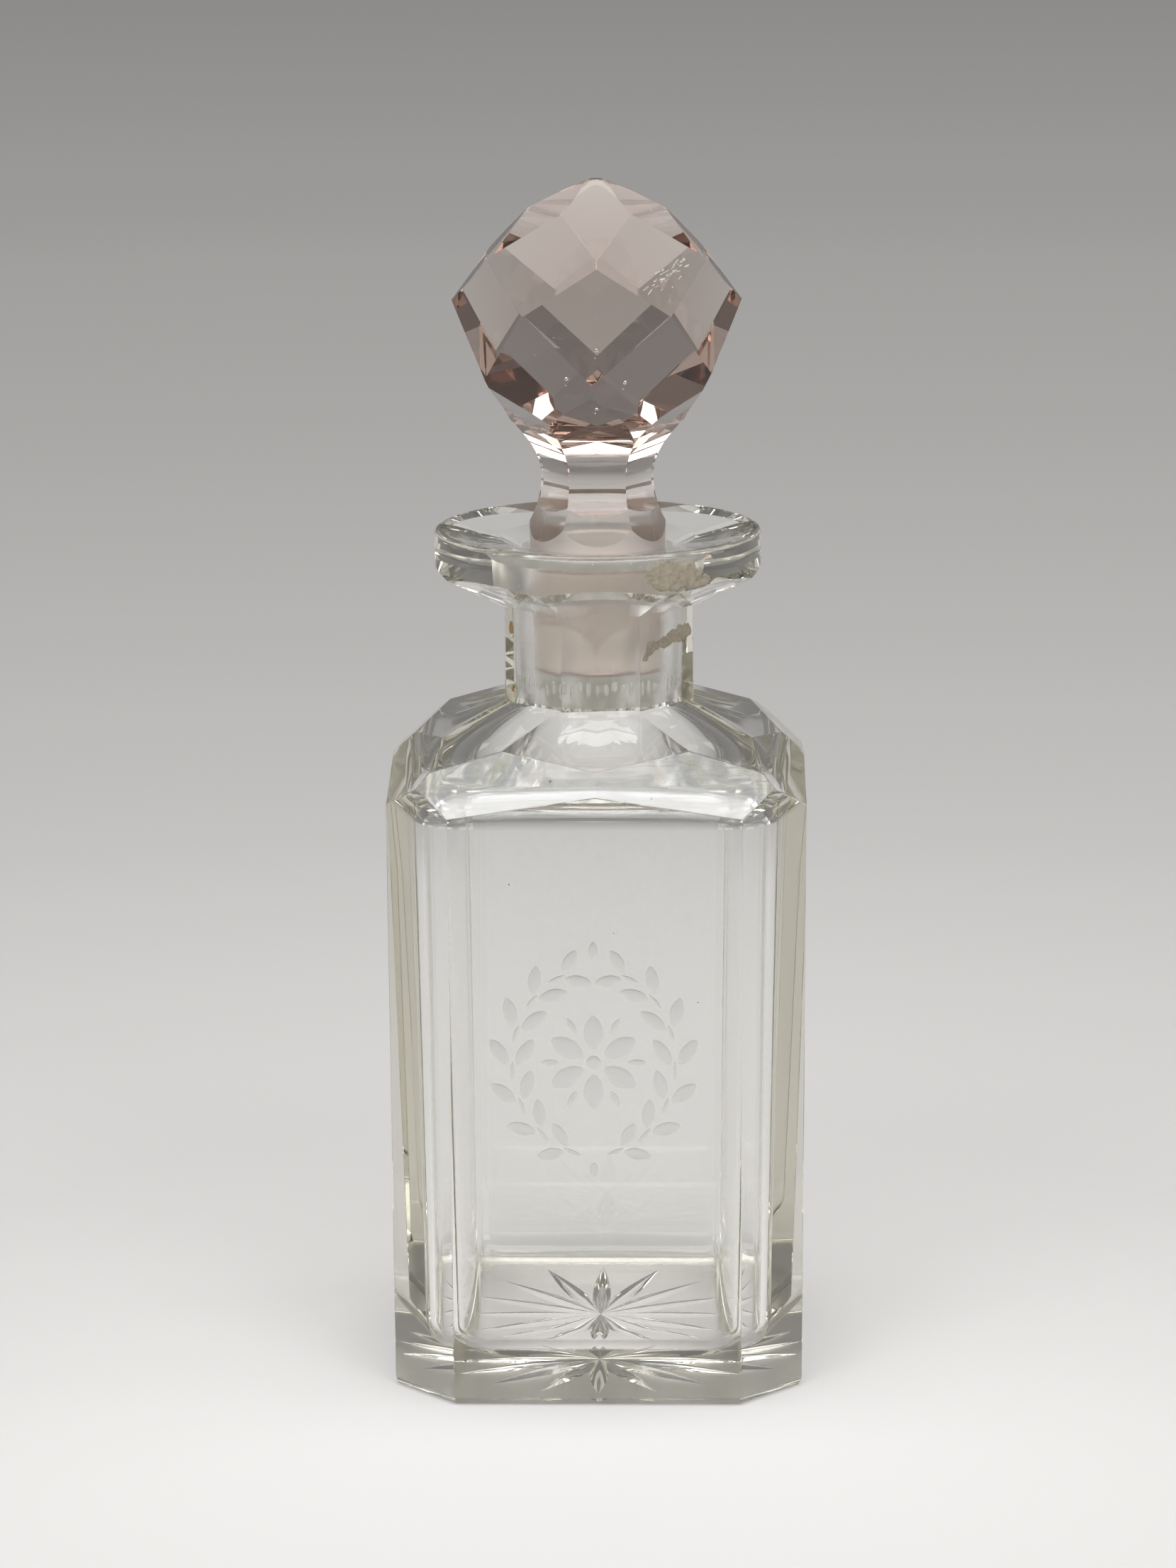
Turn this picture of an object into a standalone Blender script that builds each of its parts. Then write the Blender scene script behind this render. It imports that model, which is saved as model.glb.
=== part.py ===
"""Square cut-glass perfume bottle with a faceted ball stopper.

Units are metres, +Z is up, the foot stands on Z = 0 and the axis of the
bottle is the Z axis.  The front face looks towards -Y.
"""
import math

import bmesh
import bpy
from mathutils import Vector

MM = 0.001
WELD = 0.002 * MM

# ---- body: an upright prism, square with cut corners ---------------------
BODY_WIDTH_FOOT = 50.7 * MM     # across opposite flats, at Z = 0
BODY_WIDTH_TOP = 51.3 * MM      # the same at the height of the ridge's foot
FACE_WIDTH_FOOT = 35.4 * MM     # flat width of one broad face
FACE_WIDTH_TOP = 35.7 * MM
FOOT_BEVEL_IN = 0.4 * MM        # small ground bevel around the foot
FOOT_BEVEL_UP = 0.9 * MM

# ---- shoulder: two low facets on each face, one high facet above them,
#      and one high facet above each cut corner ---------------------------
RIDGE_FOOT_Z = 77.1 * MM        # where the two low facets meet on the face
FACE_CORNER_Z = 74.4 * MM       # low facets at the vertical corner edges
LOW_RIDGE_SLOPE = 0.90          # rise per unit of depth along the ridge
RIDGE_TOP_Y = 22.9 * MM         # distance of the ridge's top from the axis
HIGH_FACE_SLOPE = 0.455
HIGH_CORNER_REACH = 20.2 * MM  # X and Y where the corner facet starts
HIGH_CORNER_SLOPE = 0.340

# ---- neck and lip --------------------------------------------------------
NECK_FLATS = 23.3 * MM          # octagon, across flats
NECK_FOOT_Z = 80.0 * MM
NECK_TURN = math.radians(2.7)   # the neck is cut a little out of line
NECK_TOP_Z = 96.5 * MM          # where the lip's under facets leave the neck
LIP_RADIUS = 20.2 * MM
LIP_TOP_Z = 105.5 * MM
LIP_UNDER_SLOPE = 0.55
LIP_EDGE_ROUND = 0.5 * MM
LIP_SIDES = 72
MOUTH_RADIUS = 12.1 * MM        # ring where the dished top turns down
MOUTH_Z = 104.4 * MM
THROAT_Z = 102.2 * MM           # lower end of the mouth's funnel

# ---- ground joint --------------------------------------------------------
PLUG_TOP_RADIUS = 8.4 * MM
PLUG_TAPER = 0.046              # radius lost per unit of depth
PLUG_FOOT_Z = 88.0 * MM
PLUG_FOOT_ROUND = 1.2 * MM
JOINT_GAP = 0.3 * MM            # radial clearance of plug in bore
BORE_FOOT_Z = 85.6 * MM

# ---- blown cavity --------------------------------------------------------
FLOOR_Z = 5.0 * MM
FLOOR_ROUND = 3.6 * MM
CAVITY_HALF_LOW = 18.9 * MM     # half width just above the floor
CAVITY_HALF_HIGH = 20.4 * MM    # half width under the shoulder
CAVITY_CORNER_LOW = 4.8 * MM
CAVITY_CORNER_HIGH = 6.2 * MM
CAVITY_WALL_TOP_Z = 72.2 * MM
SHOULDER_ROUND = 3.4 * MM
DOME_TOP_RADIUS = 9.6 * MM
DOME_TOP_Z = 81.0 * MM
CORNER_STEPS = 10               # facets round one corner of the cavity
FLAT_STEPS = 8                  # divisions of one flat of the cavity
ROUND_STEP = math.radians(10.0)  # largest turn between round facets
SMOOTH_LIMIT = math.radians(12.5)

# ---- star cut under the foot --------------------------------------------
STAR_RAYS = 16
STAR_RADIUS = 19.0 * MM
STAR_BELLY_RADIUS = 7.5 * MM    # where a ray is widest and deepest
STAR_BELLY_DEPTH = 0.75 * MM
STAR_CENTRE_DEPTH = 0.40 * MM
STAR_WALL_SLOPE = 0.65          # depth per unit of half width
STAR_STEPS = 8

# ---- stopper -------------------------------------------------------------
BALL_SIDES = 6
BALL_CENTRE_Z = 129.1 * MM
TIP_TILT, TIP_REACH = math.radians(80.0), 19.323 * MM
NEAR_TIP_TILT, NEAR_TIP_REACH = math.radians(67.0), 18.268 * MM
CAP_TILT, CAP_REACH = math.radians(60.0), 17.49 * MM
CROWN_TILT, CROWN_REACH = math.radians(55.6), 17.356 * MM
UPPER_TILT, UPPER_REACH = math.radians(39.8), 16.71 * MM
GIRDLE_TILT, GIRDLE_REACH = math.radians(3.2), 15.7 * MM
LOWER_TILT, LOWER_REACH = math.radians(-25.6), 14.0 * MM
LOWER_UNEVEN = math.radians(2.3)  # the two front lower facets differ in tilt
LOWER_PIVOT_Z = 2.7 * MM        # upper edge of the lower facets, from centre
STOPPER_TURN = math.radians(1.0)  # how the stopper sits turned in its seat
STEM_HALF_FLATS = 6.0 * MM
STEM_WAIST_Z = 112.0 * MM
FLUTE_RADIUS_UP = 8.0 * MM      # concave flute between waist and ball
FLUTE_TURN_ANGLE = math.radians(32.0)   # where the flute opens out
FLUTE_RADIUS_OUT = 20.0 * MM
FLUTE_END_ANGLE = math.radians(52.0)
FLUTE_RADIUS_DOWN = 12.9 * MM   # concave flute between waist and collar
COLLAR_SIDES = 64
STEM_STEPS = 8
OPEN_STEPS = 4

# ---- glass ---------------------------------------------------------------
BOTTLE_COLOUR = (0.80, 0.82, 0.79, 1.0)
STOPPER_COLOUR = (0.84, 0.77, 0.76, 1.0)
GLASS_IOR = 1.52

HALF = BODY_WIDTH_TOP / 2.0
HALF_FACE = FACE_WIDTH_TOP / 2.0
HALF_FOOT = BODY_WIDTH_FOOT / 2.0
HALF_FACE_FOOT = FACE_WIDTH_FOOT / 2.0


def clear_scene():
    for ob in list(bpy.data.objects):
        bpy.data.objects.remove(ob, do_unlink=True)
    for blocks in (bpy.data.meshes, bpy.data.materials):
        for block in list(blocks):
            if block.users == 0:
                blocks.remove(block)


def glass(name, colour, roughness):
    mat = bpy.data.materials.new(name)
    mat.use_nodes = True
    bsdf = mat.node_tree.nodes["Principled BSDF"]
    bsdf.inputs["Base Color"].default_value = colour
    bsdf.inputs["Roughness"].default_value = roughness
    bsdf.inputs["Metallic"].default_value = 0.0
    bsdf.inputs["IOR"].default_value = GLASS_IOR
    bsdf.inputs["Transmission Weight"].default_value = 1.0
    return mat


def add_object(name, bm, origin=(0.0, 0.0, 0.0)):
    bmesh.ops.recalc_face_normals(bm, faces=bm.faces[:])
    mesh = bpy.data.meshes.new(name)
    bmesh.ops.translate(bm, vec=-Vector(origin), verts=bm.verts[:])
    bm.to_mesh(mesh)
    bm.free()
    ob = bpy.data.objects.new(name, mesh)
    ob.location = origin
    bpy.context.scene.collection.objects.link(ob)
    return ob


def make_cutter(ob):
    ob.hide_render = True
    ob.display_type = 'WIRE'
    return ob


def combine(target, tool, operation):
    mod = target.modifiers.new(operation.lower() + "_" + tool.name, 'BOOLEAN')
    mod.operation = operation
    mod.solver = 'EXACT'
    mod.object = tool
    return mod


def turned(vec, steps, count, extra=0.0):
    """vec turned about Z by steps of a full turn divided by count."""
    a = 2.0 * math.pi * steps / count + extra
    return Vector((vec.x * math.cos(a) - vec.y * math.sin(a),
                   vec.x * math.sin(a) + vec.y * math.cos(a), vec.z))


def mirrored(vec):
    return Vector((-vec.x, vec.y, vec.z))


def cut(bm, point, normal):
    """Grind away everything beyond the plane and close the new flat."""
    geom = bm.verts[:] + bm.edges[:] + bm.faces[:]
    res = bmesh.ops.bisect_plane(bm, geom=geom, dist=2e-6, plane_co=point,
                                 plane_no=normal, clear_outer=True)
    rim = [g for g in res["geom_cut"] if isinstance(g, bmesh.types.BMEdge)
           and g.is_boundary]
    if rim:
        bmesh.ops.edgeloop_fill(bm, edges=rim)


def plane_through(a, b, c):
    """Point and upward normal of the plane through three points."""
    n = (b - a).cross(c - a).normalized()
    return a, (n if n.z > 0.0 else -n)


def blank_box(half, z0, z1):
    bm = bmesh.new()
    bmesh.ops.create_cube(bm, size=1.0)
    bmesh.ops.scale(bm, vec=(2.0 * half, 2.0 * half, z1 - z0),
                    verts=bm.verts[:])
    bmesh.ops.translate(bm, vec=(0.0, 0.0, (z0 + z1) / 2.0),
                        verts=bm.verts[:])
    return bm


def skin_rings(rings):
    """Closed solid through a stack of rings of equal point count."""
    bm = bmesh.new()
    stacks = [[bm.verts.new(p) for p in ring] for ring in rings]
    n = len(stacks[0])
    for low, high in zip(stacks, stacks[1:]):
        for i in range(n):
            j = (i + 1) % n
            bm.faces.new((low[i], low[j], high[j], high[i]))
    bm.faces.new(list(reversed(stacks[0])))
    bm.faces.new(stacks[-1])
    return bm


def turned_solid(profile, sides):
    """Closed solid of revolution; profile runs (radius, z) from low to high."""
    rings = []
    for r, z in profile:
        rings.append([Vector((r * math.cos(2.0 * math.pi * i / sides),
                              r * math.sin(2.0 * math.pi * i / sides), z))
                      for i in range(sides)])
    return skin_rings(rings)


def shoulder_planes():
    """All planes of the shoulder, from one eighth of it."""
    ridge_foot = Vector((0.0, -HALF, RIDGE_FOOT_Z))
    face_corner = Vector((HALF_FACE, -HALF, FACE_CORNER_Z))
    ridge_top = Vector((0.0, -RIDGE_TOP_Y,
                        RIDGE_FOOT_Z + LOW_RIDGE_SLOPE * (HALF - RIDGE_TOP_Y)))
    low = plane_through(ridge_foot, face_corner, ridge_top)
    high = (ridge_top, Vector((0.0, -HIGH_FACE_SLOPE, 1.0)).normalized())
    reach = HIGH_CORNER_REACH
    n = low[1]
    z = low[0].z - (n.x * (reach - low[0].x) + n.y * (-reach - low[0].y)) / n.z
    corner_start = Vector((reach, -reach, z))
    lean = HIGH_CORNER_SLOPE / math.sqrt(2.0)
    corner = (corner_start, Vector((lean, -lean, 1.0)).normalized())
    planes = []
    for k in range(4):
        for co, no in (low, (mirrored(low[0]), mirrored(low[1])), high,
                       corner):
            planes.append((turned(co, k, 4), turned(no, k, 4)))
    return planes


def build_body():
    bm = blank_box(HALF + 1.0 * MM, 0.0, NECK_TOP_Z - 2.0 * MM)
    side = Vector((0.0, -1.0, 0.0))
    down = Vector((0.0, 0.0, -1.0))
    corner_foot = (HALF_FOOT + HALF_FACE_FOOT) / math.sqrt(2.0)
    corner_top = (HALF + HALF_FACE) / math.sqrt(2.0)
    for k in range(8):
        foot, top = ((HALF_FOOT, HALF) if k % 2 == 0
                     else (corner_foot, corner_top))
        out = turned(side, k, 8)
        no = (out + down * ((top - foot) / RIDGE_FOOT_Z)).normalized()
        cut(bm, out * foot, no)
    for co, no in shoulder_planes():
        cut(bm, co, no)
    for k in range(8):
        reach = HALF_FOOT if k % 2 == 0 else corner_foot
        out = turned(side, k, 8)
        no = (out * FOOT_BEVEL_UP + down * FOOT_BEVEL_IN).normalized()
        cut(bm, out * (reach - FOOT_BEVEL_IN), no)
    return add_object("bottle", bm)


def build_neck():
    reach = NECK_FLATS / 2.0
    bm = blank_box(reach * 1.5, NECK_FOOT_Z, NECK_TOP_Z + 3.0 * MM)
    for k in range(8):
        no = turned(Vector((0.0, -1.0, 0.0)), k, 8, NECK_TURN)
        cut(bm, no * reach, no)
    return make_cutter(add_object("neck_blank", bm))


def build_lip():
    profile = [(LIP_RADIUS, NECK_TOP_Z - 8.0 * MM),
               (LIP_RADIUS, LIP_TOP_Z - LIP_EDGE_ROUND),
               (LIP_RADIUS - 0.3 * LIP_EDGE_ROUND,
                LIP_TOP_Z - 0.3 * LIP_EDGE_ROUND),
               (LIP_RADIUS - LIP_EDGE_ROUND, LIP_TOP_Z)]
    bm = turned_solid(profile, LIP_SIDES)
    for k in range(8):
        out = turned(Vector((0.0, -1.0, 0.0)), k, 8, NECK_TURN)
        foot = out * (NECK_FLATS / 2.0) + Vector((0.0, 0.0, NECK_TOP_Z))
        no = (out * LIP_UNDER_SLOPE - Vector((0.0, 0.0, 1.0))).normalized()
        cut(bm, foot, no)
    return make_cutter(add_object("lip_blank", bm))


def plug_radius(z):
    return PLUG_TOP_RADIUS - PLUG_TAPER * (MOUTH_Z - z)


def cavity_angles():
    """Polar angles for one ring: close together where the corners turn."""
    half = (CAVITY_HALF_LOW + CAVITY_HALF_HIGH) / 2.0
    corner = (CAVITY_CORNER_LOW + CAVITY_CORNER_HIGH) / 2.0
    start = math.atan2(half - corner, half)
    turn = [start + (math.pi / 2.0 - 2.0 * start) * i / CORNER_STEPS
            for i in range(CORNER_STEPS + 1)]
    flat = [math.pi / 2.0 - start + 2.0 * start * i / FLAT_STEPS
            for i in range(1, FLAT_STEPS)]
    return [a + k * math.pi / 2.0 for k in range(4) for a in turn + flat]


def rounded_square(angle, half, corner):
    """Distance from the axis to a rounded square's edge at a polar angle."""
    a = angle % (math.pi / 2.0)
    c, s = math.cos(a), math.sin(a)
    big, small = max(c, s), min(c, s)
    flat = half / big
    inner = half - corner
    if flat * small <= inner:
        return flat
    along = inner * (c + s)
    return along + math.sqrt(max(along * along
                                 - 2.0 * inner * inner + corner * corner, 0.0))


def arc(start, end):
    """Evenly spaced angles from start to end in steps fine enough to smooth."""
    steps = max(2, math.ceil(abs(end - start) / ROUND_STEP))
    return [start + (end - start) * i / steps for i in range(steps + 1)]


def hollow_rings():
    """(z, half width, corner radius) from the floor to above the mouth."""
    rings = []
    for t in arc(0.0, math.pi / 2.0):
        rings.append((FLOOR_Z + FLOOR_ROUND * (1.0 - math.cos(t)),
                      CAVITY_HALF_LOW - FLOOR_ROUND * (1.0 - math.sin(t)),
                      CAVITY_CORNER_LOW - 0.5 * FLOOR_ROUND
                      * (1.0 - math.sin(t))))
    rise = math.atan2(DOME_TOP_Z - CAVITY_WALL_TOP_Z - SHOULDER_ROUND,
                      CAVITY_HALF_HIGH - DOME_TOP_RADIUS)
    bend = math.pi / 2.0 - rise
    for t in arc(0.0, bend):
        rings.append((CAVITY_WALL_TOP_Z + SHOULDER_ROUND * math.sin(t),
                      CAVITY_HALF_HIGH - SHOULDER_ROUND * (1.0 - math.cos(t)),
                      CAVITY_CORNER_HIGH + 0.9 * MM * t / bend))
    z0, h0, c0 = rings[-1]
    steps = 6
    for i in range(1, steps + 1):
        t = i / steps
        half = h0 + (DOME_TOP_RADIUS - h0) * t
        rings.append((z0 + (DOME_TOP_Z - z0) * (0.55 * t + 0.45 * t * t),
                      half, c0 + (half - c0) * t ** 0.7))
    z0 = rings[-1][0]
    bore = plug_radius(BORE_FOOT_Z) + JOINT_GAP
    for t in arc(math.radians(35.0), math.pi / 2.0)[1:]:
        half = bore + (DOME_TOP_RADIUS - bore) * (1.0 - math.sin(t)) \
            / (1.0 - math.sin(math.radians(35.0)))
        rings.append((BORE_FOOT_Z - (BORE_FOOT_Z - z0) * math.cos(t)
                      / math.cos(math.radians(35.0)), half, half))
    throat = plug_radius(THROAT_Z) + JOINT_GAP
    rings.append((THROAT_Z, throat, throat))
    rings.append((THROAT_Z + 1.0 * MM, throat + 0.8 * MM, throat + 0.8 * MM))
    rings.append((MOUTH_Z, MOUTH_RADIUS, MOUTH_RADIUS))
    rim = LIP_RADIUS - 2.0 * LIP_EDGE_ROUND
    over = 2.0 * MM
    flare = over * (rim - MOUTH_RADIUS) / (LIP_TOP_Z - MOUTH_Z)
    rings.append((LIP_TOP_Z + over, rim + flare, rim + flare))
    return rings


def build_hollow():
    """One smooth inside: blown cavity, bore, mouth and dished lip."""
    angles = cavity_angles()
    rings = []
    for z, half, corner in hollow_rings():
        rings.append([Vector((rounded_square(a, half, corner) * math.cos(a),
                              rounded_square(a, half, corner) * math.sin(a),
                              z)) for a in angles])
    return make_cutter(add_object("hollow_cutter", skin_rings(rings)))


def star_depth(r):
    """Depth of a mitre cut along its own ray."""
    if r < STAR_BELLY_RADIUS:
        t = r / STAR_BELLY_RADIUS
        swell = math.sin(t * math.pi / 2.0)
        return STAR_CENTRE_DEPTH + (STAR_BELLY_DEPTH
                                    - STAR_CENTRE_DEPTH) * swell
    t = (r - STAR_BELLY_RADIUS) / (STAR_RADIUS - STAR_BELLY_RADIUS)
    return STAR_BELLY_DEPTH * math.cos(t * math.pi / 2.0)


def build_star():
    """Tapering mitre cuts that cross under the middle of the foot."""
    bm = bmesh.new()
    below = -1.0 * MM
    half_turn = math.pi / STAR_RAYS
    count = STAR_RAYS
    centre = bm.verts.new((0.0, 0.0, STAR_CENTRE_DEPTH))
    floor = bm.verts.new((0.0, 0.0, below))
    radii = [STAR_RADIUS * i / STAR_STEPS for i in range(1, STAR_STEPS + 1)]
    keel, left, right = [], [], []
    for k in range(count):
        spine, port, starboard = [], [], []
        for r in radii:
            depth = star_depth(r)
            wide = depth / STAR_WALL_SLOPE
            t = min(wide, r * math.tan(half_turn))
            z = max(depth - STAR_WALL_SLOPE * t, 0.0)
            spine.append(bm.verts.new(turned(Vector((0.0, -r, depth)), k,
                                             count)))
            port.append(bm.verts.new(turned(Vector((-t, -r, z)), k, count)))
            starboard.append(bm.verts.new(turned(Vector((t, -r, z)), k,
                                                 count)))
        keel.append(spine)
        left.append(port)
        right.append(starboard)
    for k in range(count):
        for side, flip in ((left[k], False), (right[k], True)):
            rows = list(zip([centre] + keel[k], [centre] + side))
            for (a0, b0), (a1, b1) in zip(rows, rows[1:]):
                face = [v for i, v in enumerate((a0, a1, b1, b0))
                        if v not in (a0, a1, b1, b0)[:i]]
                bm.faces.new(face if flip else list(reversed(face)))
    bmesh.ops.remove_doubles(bm, verts=bm.verts[:], dist=1.0e-6)
    rim = [e for e in bm.edges if e.is_boundary]
    ends = {v: None for e in rim for v in e.verts}
    skirt = {}
    for v in sorted(ends, key=lambda w: w.index):
        skirt[v] = bm.verts.new((v.co.x, v.co.y, below))
    for e in rim:
        a, b = e.verts
        bm.faces.new((a, b, skirt[b], skirt[a]))
        bm.faces.new((skirt[a], skirt[b], floor))
    bmesh.ops.remove_doubles(bm, verts=bm.verts[:], dist=1.0e-6)
    return make_cutter(add_object("star_cutter", bm))


def ball_rows():
    """(tilt, reach, turn in facet steps) of every facet of the ball."""
    rows = ((TIP_TILT, TIP_REACH, 0.0), (NEAR_TIP_TILT, NEAR_TIP_REACH, 0.0),
            (CAP_TILT, CAP_REACH, 0.0), (CROWN_TILT, CROWN_REACH, 0.0),
            (UPPER_TILT, UPPER_REACH, 0.5),
            (GIRDLE_TILT, GIRDLE_REACH, 0.0), (LOWER_TILT, LOWER_REACH, 0.5))
    out = []
    for tilt, reach, offset in rows:
        for k in range(BALL_SIDES):
            step = (k + offset + BALL_SIDES / 2.0) % BALL_SIDES \
                - BALL_SIDES / 2.0
            if tilt == LOWER_TILT and abs(step) < 1.0:
                # same upper edge, other slope
                edge = (reach - math.sin(tilt) * LOWER_PIVOT_Z) \
                    / math.cos(tilt)
                lean = tilt - math.copysign(LOWER_UNEVEN, step)
                out.append((lean, math.cos(lean) * edge
                            + math.sin(lean) * LOWER_PIVOT_Z, step))
            else:
                out.append((tilt, reach, step))
    return out


def build_ball():
    """The ball's rows of flat facets, still without the stem's flutes."""
    centre = Vector((0.0, 0.0, BALL_CENTRE_Z))
    bm = blank_box(24.0 * MM, STEM_WAIST_Z - 4.0 * MM,
                   BALL_CENTRE_Z + 24.0 * MM)
    for tilt, reach, step in ball_rows():
        base = Vector((0.0, -math.cos(tilt), math.sin(tilt)))
        no = turned(base, step, BALL_SIDES, STOPPER_TURN)
        cut(bm, centre + no * reach, no)
    return add_object("stopper", bm, (0.0, 0.0, MOUTH_Z))


def build_plug():
    foot = plug_radius(PLUG_FOOT_Z)
    profile = []
    for t in arc(0.0, math.pi / 2.0):
        profile.append((foot - PLUG_FOOT_ROUND * (1.0 - math.sin(t)),
                        PLUG_FOOT_Z + PLUG_FOOT_ROUND * (1.0 - math.cos(t))))
    profile.append((PLUG_TOP_RADIUS, MOUTH_Z + 0.4 * MM))
    profile.append((PLUG_TOP_RADIUS, STEM_WAIST_Z + 2.0 * MM))
    return make_cutter(add_object("plug_blank",
                                  turned_solid(profile, COLLAR_SIDES)))


def stem_profile():
    """(half width across flats, z) of the six-sided stem, low to high."""
    out = [(16.0 * MM, PLUG_FOOT_Z - 3.0 * MM),
           (16.0 * MM, MOUTH_Z - 6.0 * MM)]
    reach = math.radians(52.0)
    for i in range(STEM_STEPS, 0, -1):
        t = reach * i / STEM_STEPS
        out.append((STEM_HALF_FLATS + FLUTE_RADIUS_DOWN * (1 - math.cos(t)),
                    STEM_WAIST_Z - FLUTE_RADIUS_DOWN * math.sin(t)))
    for i in range(STEM_STEPS + 1):
        t = FLUTE_TURN_ANGLE * i / STEM_STEPS
        out.append((STEM_HALF_FLATS + FLUTE_RADIUS_UP * (1.0 - math.cos(t)),
                    STEM_WAIST_Z + FLUTE_RADIUS_UP * math.sin(t)))
    w, z = out[-1]
    for i in range(1, OPEN_STEPS + 1):
        t = FLUTE_TURN_ANGLE + (FLUTE_END_ANGLE - FLUTE_TURN_ANGLE) \
            * i / OPEN_STEPS
        out.append((w + FLUTE_RADIUS_OUT * (math.cos(FLUTE_TURN_ANGLE)
                                            - math.cos(t)),
                    z + FLUTE_RADIUS_OUT * (math.sin(t)
                                            - math.sin(FLUTE_TURN_ANGLE))))
    w, z = out[-1]
    far = 24.0 * MM
    out.append((far, z + (far - w) / math.tan(FLUTE_END_ANGLE)))
    out.append((far, BALL_CENTRE_Z + 26.0 * MM))
    return out


def build_flutes():
    rings = []
    for w, z in stem_profile():
        r = w / math.cos(math.pi / BALL_SIDES)
        rings.append([turned(Vector((0.0, -r, z)), i + 0.5, BALL_SIDES,
                             STOPPER_TURN)
                      for i in range(BALL_SIDES)])
    return make_cutter(add_object("flute_envelope", skin_rings(rings)))


def finish(ob, tools, material):
    """Fix the cut shape as the object's own mesh and clear its tools away."""
    bpy.context.view_layer.update()
    graph = bpy.context.evaluated_depsgraph_get()
    solid = bpy.data.meshes.new_from_object(ob.evaluated_get(graph))
    ob.modifiers.clear()
    bm = bmesh.new()
    bm.from_mesh(solid)
    bmesh.ops.remove_doubles(bm, verts=bm.verts[:], dist=WELD)
    bmesh.ops.dissolve_degenerate(bm, edges=bm.edges[:], dist=WELD)
    bm.to_mesh(solid)
    bm.free()
    ob.data = solid
    solid.name = ob.name
    solid.materials.clear()
    solid.materials.append(material)
    for poly in solid.polygons:
        poly.use_smooth = True
        poly.material_index = 0
    solid.set_sharp_from_angle(angle=SMOOTH_LIMIT)
    for tool in tools:
        bpy.data.objects.remove(tool, do_unlink=True)


def main():
    clear_scene()
    bottle = build_body()
    neck, lip = build_neck(), build_lip()
    hollow, star = build_hollow(), build_star()
    combine(bottle, neck, 'UNION')
    combine(bottle, lip, 'UNION')
    combine(bottle, hollow, 'DIFFERENCE')
    combine(bottle, star, 'DIFFERENCE')
    finish(bottle, (neck, lip, hollow, star),
           glass("bottle_glass", BOTTLE_COLOUR, 0.02))

    stopper = build_ball()
    plug, flutes = build_plug(), build_flutes()
    combine(stopper, plug, 'UNION')
    combine(stopper, flutes, 'INTERSECT')
    finish(stopper, (plug, flutes),
           glass("stopper_glass", STOPPER_COLOUR, 0.03))


main()
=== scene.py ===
"""Looks of a square cut-glass perfume bottle with a faceted ball stopper.

The glass of each CAD node is made again here at a finer resolution, from the
same planes and profiles, with polished edges, a wheel-cut spray on the front
face and the small bubbles, deposits and wear of old glass.
"""

import math
import random

import bmesh
import bpy
from mathutils import Matrix, Vector, noise
from mathutils.bvhtree import BVHTree


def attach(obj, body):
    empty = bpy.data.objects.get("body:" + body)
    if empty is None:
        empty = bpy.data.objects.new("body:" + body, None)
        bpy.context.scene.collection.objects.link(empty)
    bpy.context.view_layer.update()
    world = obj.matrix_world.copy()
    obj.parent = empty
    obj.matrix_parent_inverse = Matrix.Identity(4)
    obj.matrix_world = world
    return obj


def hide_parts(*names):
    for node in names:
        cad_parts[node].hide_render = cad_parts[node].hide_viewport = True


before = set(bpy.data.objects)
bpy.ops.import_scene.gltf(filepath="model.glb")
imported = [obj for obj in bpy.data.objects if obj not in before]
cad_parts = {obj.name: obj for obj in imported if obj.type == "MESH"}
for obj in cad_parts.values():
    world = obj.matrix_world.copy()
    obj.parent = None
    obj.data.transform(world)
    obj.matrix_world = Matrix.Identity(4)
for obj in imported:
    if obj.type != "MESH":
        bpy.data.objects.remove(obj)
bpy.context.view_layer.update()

MM = 0.001
WELD = 0.0015 * MM

# ---- body ----------------------------------------------------------------
BODY_WIDTH_FOOT = 50.7 * MM
BODY_WIDTH_TOP = 51.3 * MM
FACE_WIDTH_FOOT = 35.4 * MM
FACE_WIDTH_TOP = 35.7 * MM
FOOT_BEVEL_IN = 0.4 * MM
FOOT_BEVEL_UP = 0.9 * MM
HALF = BODY_WIDTH_TOP / 2.0
HALF_FACE = FACE_WIDTH_TOP / 2.0
HALF_FOOT = BODY_WIDTH_FOOT / 2.0
HALF_FACE_FOOT = FACE_WIDTH_FOOT / 2.0

# ---- shoulder ------------------------------------------------------------
RIDGE_FOOT_Z = 77.1 * MM
FACE_CORNER_Z = 74.4 * MM
LOW_RIDGE_SLOPE = 0.90
RIDGE_TOP_Y = 22.9 * MM
HIGH_FACE_SLOPE = 0.455
HIGH_CORNER_REACH = 20.2 * MM
HIGH_CORNER_SLOPE = 0.340

# ---- neck and lip --------------------------------------------------------
NECK_FLATS = 23.3 * MM
NECK_FOOT_Z = 80.0 * MM
NECK_TURN = math.radians(2.7)
NECK_TOP_Z = 96.5 * MM
LIP_RADIUS = 20.2 * MM
LIP_TOP_Z = 105.5 * MM
LIP_UNDER_SLOPE = 0.55
LIP_EDGE_ROUND = 0.5 * MM
LIP_SIDES = 240
MOUTH_RADIUS = 12.1 * MM
MOUTH_Z = 104.4 * MM
THROAT_Z = 102.2 * MM

# ---- ground joint --------------------------------------------------------
PLUG_TOP_RADIUS = 8.4 * MM
PLUG_TAPER = 0.046
PLUG_FOOT_Z = 88.0 * MM
PLUG_FOOT_ROUND = 1.2 * MM
JOINT_GAP = 0.3 * MM
BORE_FOOT_Z = 85.6 * MM

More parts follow.
